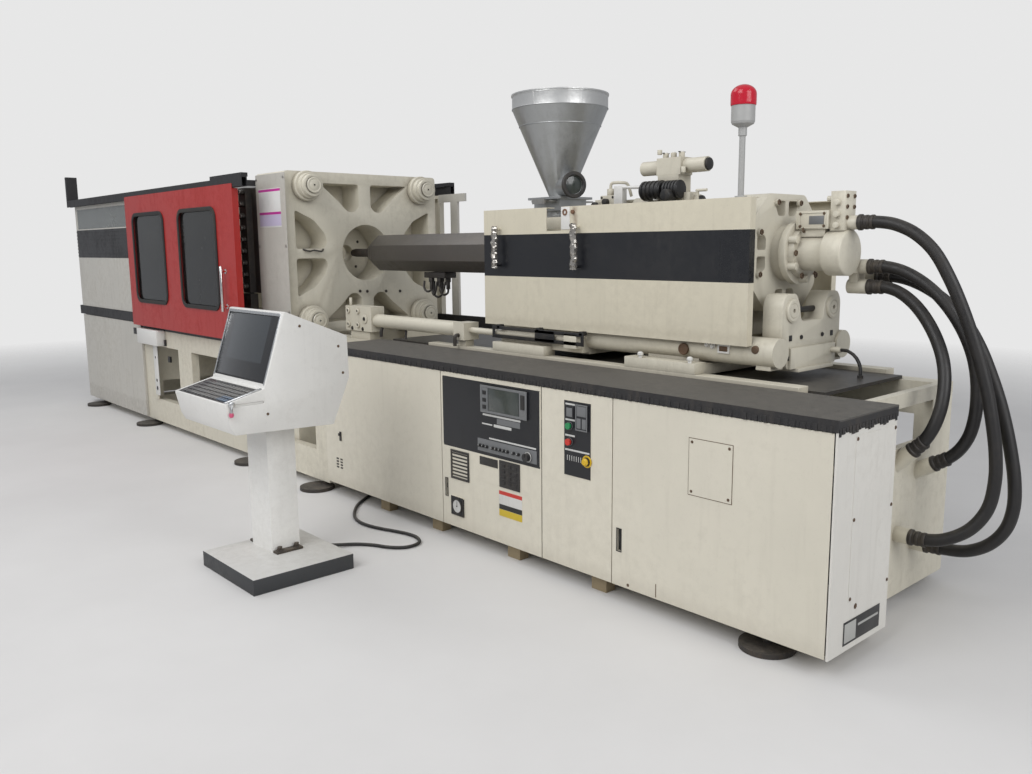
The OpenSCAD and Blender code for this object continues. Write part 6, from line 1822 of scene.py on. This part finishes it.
@dataclass
class ControlStand:
    """The console's screen, bright strips, keys and lever, and the column's foot."""

    middle: float = 1.625
    half: float = 0.266
    tray_y: float = -1.485
    screen: Area = (0.194, 0.918, 0.304, 1.258)
    deck: Area = (0.0, 0.868, 0.194, 0.918)
    key_rows: int = 5
    keys_across: int = 16
    key_pitch: Pair = (0.0315, 0.028)
    key_size: Pair = (0.025, 0.021)
    foot_z: float = 0.075
    foot_plates: tuple[Pair, ...] = ((1.478, 1.521), (1.729, 1.772))
    foot_bolts: tuple[Pair, Pair] = ((1.498, 1.752), (-1.180, -1.090))
    side_screws: tuple[Pair, ...] = ((-1.10, 1.19), (-0.90, 1.08), (-0.88, 0.95), (-1.28, 0.80))

    def on(self, face: Area, along: float, out: float) -> Pair:
        """Finds a point on a face.

        Args:
            face: the face's base and far corner, measured behind the tray's front and above the floor.
            along: the distance from its base.
            out: the height above it.

        Returns:
            The y and z.
        """
        base, far = Vector(face[:2]), Vector(face[2:])
        ahead = (far - base).normalized()
        spot = base + ahead * along + Vector((-ahead.y, ahead.x)) * out
        return (self.tray_y + spot.x, spot.y)

    def slab(self, forge: Forge, face: Area, x: Pair, along: Pair, out: Pair, bevel: float = 0.0) -> Forge:
        """Adds a slab that lies on a face.

        Args:
            forge: the piece that gets it.
            face: the face's base and far corner.
            x: its two ends across, from the console's middle.
            along: its two ends up the face.
            out: its underside and its top, above the face.
            bevel: the width of its rounded edges.

        Returns:
            The forge.
        """
        outline = [self.on(face, a, o) for a, o in rect(*along, *out)]
        return forge.plate(outline, Axis.X, self.middle + x[0], self.middle + x[1], bevel)

    def bezel(self) -> None:
        """Adds the bright strips round the screen and beside the keys."""
        forge, half = Forge(), self.half
        for face, x, along, out, bevel in (
                (self.screen, (-half - 0.006, -half + 0.004), (0.014, 0.346), (-0.002, 0.002), 0.0008),
                (self.screen, (half - 0.004, half + 0.006), (0.014, 0.346), (-0.002, 0.002), 0.0008),
                (self.screen, (-half, half), (0.336, 0.350), (-0.002, 0.003), 0.0008),
                (self.deck, (half - 0.002, half + 0.012), (0.006, 0.190), (-0.001, 0.006), 0.002),
                (self.deck, (half - 0.014, half - 0.004), (0.010, 0.184), (-0.002, 0.003), 0.001)):
            self.slab(forge, face, x, along, out, bevel)
        forge.done("console_strips", Body.MACHINE, SILVER)

    def glass(self) -> None:
        """Sets the screen's glass."""
        half = self.half - 0.006
        forge = self.slab(Forge(), self.screen, (-half, half), (0.028, 0.332), (-0.003, -0.0008), 0.0008)
        forge.done("console_glass", Body.MACHINE, CONSOLE_GLASS)

    def keys(self) -> None:
        """Sets the rows of flat keys on the deck."""
        forge = Forge()
        for row in range(self.key_rows):
            for k in range(self.keys_across):
                x = -self.half + 0.030 + k * self.key_pitch[0]
                a = 0.026 + row * self.key_pitch[1]
                self.slab(forge, self.deck, (x, x + self.key_size[0]), (a, a + self.key_size[1]),
                          (-0.002, 0.0012), 0.0006)
        forge.done("console_keys", Body.MACHINE, KEYS)

    def lever(self) -> None:
        """Adds the small lever with a pink tip at the tray's right front corner."""
        x = self.middle + 0.283
        y, z = self.on(self.deck, 0.030, -0.012)
        forge = Forge().stub((x - 0.004, y, z), Axis.X, 0.016, 0.014, bevel=0.002)
        forge.rod((x + 0.006, y, z), (x + 0.010, y - 0.006, z - 0.044), 0.006, bevel=0.001)
        forge.done("tray_lever", Body.MACHINE, SILVER)
        profile = [(0.0, 0.0), (0.008, 0.002), (0.011, 0.010), (0.009, 0.020), (0.0, 0.022)]
        tip = Forge().lathe((x + 0.010, y - 0.006, z - 0.056), Axis.Z, profile, 20)
        tip.done("lever_tip", Body.MACHINE, PINK)

    def foot(self) -> None:
        """Adds the column's foot plates and bolts, and the housing's screws."""
        top = self.foot_z + 0.012
        forge = Forge()
        for x0, x1 in self.foot_plates:
            forge.block((x0, -1.205, self.foot_z - 0.0005), (x1, -1.065, top), 0.002)
        bolts = [(x, y, top) for x in self.foot_bolts[0] for y in self.foot_bolts[1]]
        forge.bolts(bolts, Axis.Z, 0.013, 0.020)
        forge.done("column_foot", Body.MACHINE, IRON)
        screws = [(self.middle + 0.280, y, z) for y, z in self.side_screws]
        Forge().bolts(screws, Axis.X, 0.005, 0.003).done("console_screws", Body.MACHINE, BROWN)

    def build(self) -> None:
        """Builds the pieces."""
        self.bezel()
        self.glass()
        self.keys()
        self.lever()
        self.foot()


DRESSING = (SafetyDoor, ClampGuards, PlatenFittings, CoverFittings, CarriageFittings, MotorFittings,
            HopperFittings, ValveFittings, TraverseFittings, ProbeBundle, ControlDoor, ButtonPanel,
            CabinetTrim, ControlStand)


@dataclass(frozen=True)
class Lamp:
    """A square lamp that looks at a point."""

    name: str
    place: Point
    aim: Point
    size: float
    power: float

    def hang(self) -> None:
        """Adds the lamp to the scene."""
        light = bpy.data.lights.new(self.name, "AREA")
        light.size = self.size
        light.energy = self.power
        holder = bpy.data.objects.new(self.name, light)
        turn = (Vector(self.aim) - Vector(self.place)).to_track_quat("-Z", "Y").to_matrix().to_4x4()
        holder.matrix_world = Matrix.Translation(self.place) @ turn
        bpy.context.scene.collection.objects.link(holder)


@dataclass
class Studio:
    """The floor, the lamps and the camera."""

    focal: float = 31.083
    sensor: float = 36.0
    yaw: float = 0.7317073798
    pitch: float = 0.1577564845
    roll: float = -0.0094066078
    place: Point = (5.637477, -3.108248, 1.55)
    floor_radius: float = 45.0
    floor_dark: Color = (0.62, 0.61, 0.60)
    floor_light: Color = (0.68, 0.67, 0.66)
    fade: Pair = (6.0, 11.0)
    world_light: Color = (0.40, 0.41, 0.43)
    backdrop: Color = (0.80, 0.80, 0.80)
    lamps: tuple[Lamp, ...] = (Lamp("key", (3.0, -6.5, 6.0), (0.8, 0.2, 0.9), 5.0, 330.0),
                               Lamp("fill", (9.0, -0.5, 4.5), (1.5, 0.2, 1.0), 4.0, 190.0),
                               Lamp("top", (-3.0, -2.0, 7.0), (-2.0, 0.3, 1.0), 5.0, 170.0))

    def camera(self) -> None:
        """Sets the camera at the photo's viewing angle."""
        level = math.cos(self.pitch)
        ahead = Vector((-math.cos(self.yaw) * level, math.sin(self.yaw) * level, -math.sin(self.pitch)))
        right = ahead.cross(Vector((0.0, 0.0, 1.0))).normalized()
        up = right.cross(ahead)
        lean, keep = math.sin(self.roll), math.cos(self.roll)
        right, up = keep * right + lean * up, keep * up - lean * right
        camera = bpy.data.cameras.new("camera")
        camera.lens = self.focal
        camera.sensor_width = self.sensor
        camera.sensor_fit = "HORIZONTAL"
        camera.clip_end = 200.0
        holder = bpy.data.objects.new("camera", camera)
        turn = Matrix((right, up, -ahead)).transposed().to_4x4()
        holder.matrix_world = Matrix.Translation(self.place) @ turn
        bpy.context.scene.collection.objects.link(holder)
        bpy.context.scene.camera = holder

    def floor(self) -> None:
        """Lays the pale floor, which fades into the backdrop."""
        bm = bmesh.new()
        bmesh.ops.create_circle(bm, cap_ends=True, segments=96, radius=self.floor_radius)
        piece = mesh_object(bm, "floor", 30.0)
        made = bpy.data.materials.new("pale_floor")
        made.use_nodes = True
        made.node_tree.nodes.clear()
        net = Net(made.node_tree)
        cloud = net.noise(net.place(), 0.6, 5.0)
        color = net.mix(net.ramp(cloud, 0.3, 0.7), self.floor_dark, self.floor_light)
        away = net.add("ShaderNodeVectorMath", {0: net.place()}, operation="LENGTH").outputs["Value"]
        shown = net.ramp(away, *self.fade, 1.0, 0.0)
        face = net.add("ShaderNodeBsdfPrincipled", {"Base Color": color, "Roughness": 0.75, "Alpha": shown})
        net.add("ShaderNodeOutputMaterial", {0: face.outputs[0]})
        piece.data.materials.append(made)

    def light(self) -> None:
        """Sets the world and the lamps at a plain level."""
        world = bpy.data.worlds.new("studio")
        bpy.context.scene.world = world
        world.use_nodes = True
        world.node_tree.nodes.clear()
        net = Net(world.node_tree)
        seen = net.add("ShaderNodeLightPath").outputs["Is Camera Ray"]
        color = net.mix(seen, self.world_light, self.backdrop)
        back = net.add("ShaderNodeBackground", {"Color": color})
        net.add("ShaderNodeOutputWorld", {0: back.outputs[0]})
        for lamp in self.lamps:
            lamp.hang()

    def build(self) -> None:
        """Builds the studio."""
        self.camera()
        self.floor()
        self.light()
        bpy.context.scene.view_settings.view_transform = "Standard"


def finish_nodes() -> dict[str, Finish]:
    """Gives every CAD node its finish.

    Returns:
        The finish of each node.
    """
    by_node = {node: finish for finish, names in NODE_FINISH.items() for node in names.split()}
    by_node.update({hose.node: hose.finish for hose in HOSES})
    for node, finish in by_node.items():
        piece = frame["nodes"][node]
        if not piece.material_slots:
            piece.data.materials.append(None)
        for place in piece.material_slots:
            place.link = "OBJECT"
            place.material = finish.material()
    return by_node


def main() -> None:
    """Builds the studio, the hoses, the softened castings and every group of fittings."""
    logging.basicConfig(level=logging.INFO, format="%(message)s")
    Studio().build()
    for hose in HOSES:
        hose.build()
    by_node = finish_nodes()
    for width, names in CASTINGS.items():
        for node in names.split():
            SoftCasting(node, by_node[node], width).build()
    for group in DRESSING:
        group().build()


if __name__ == "__main__":
    main()
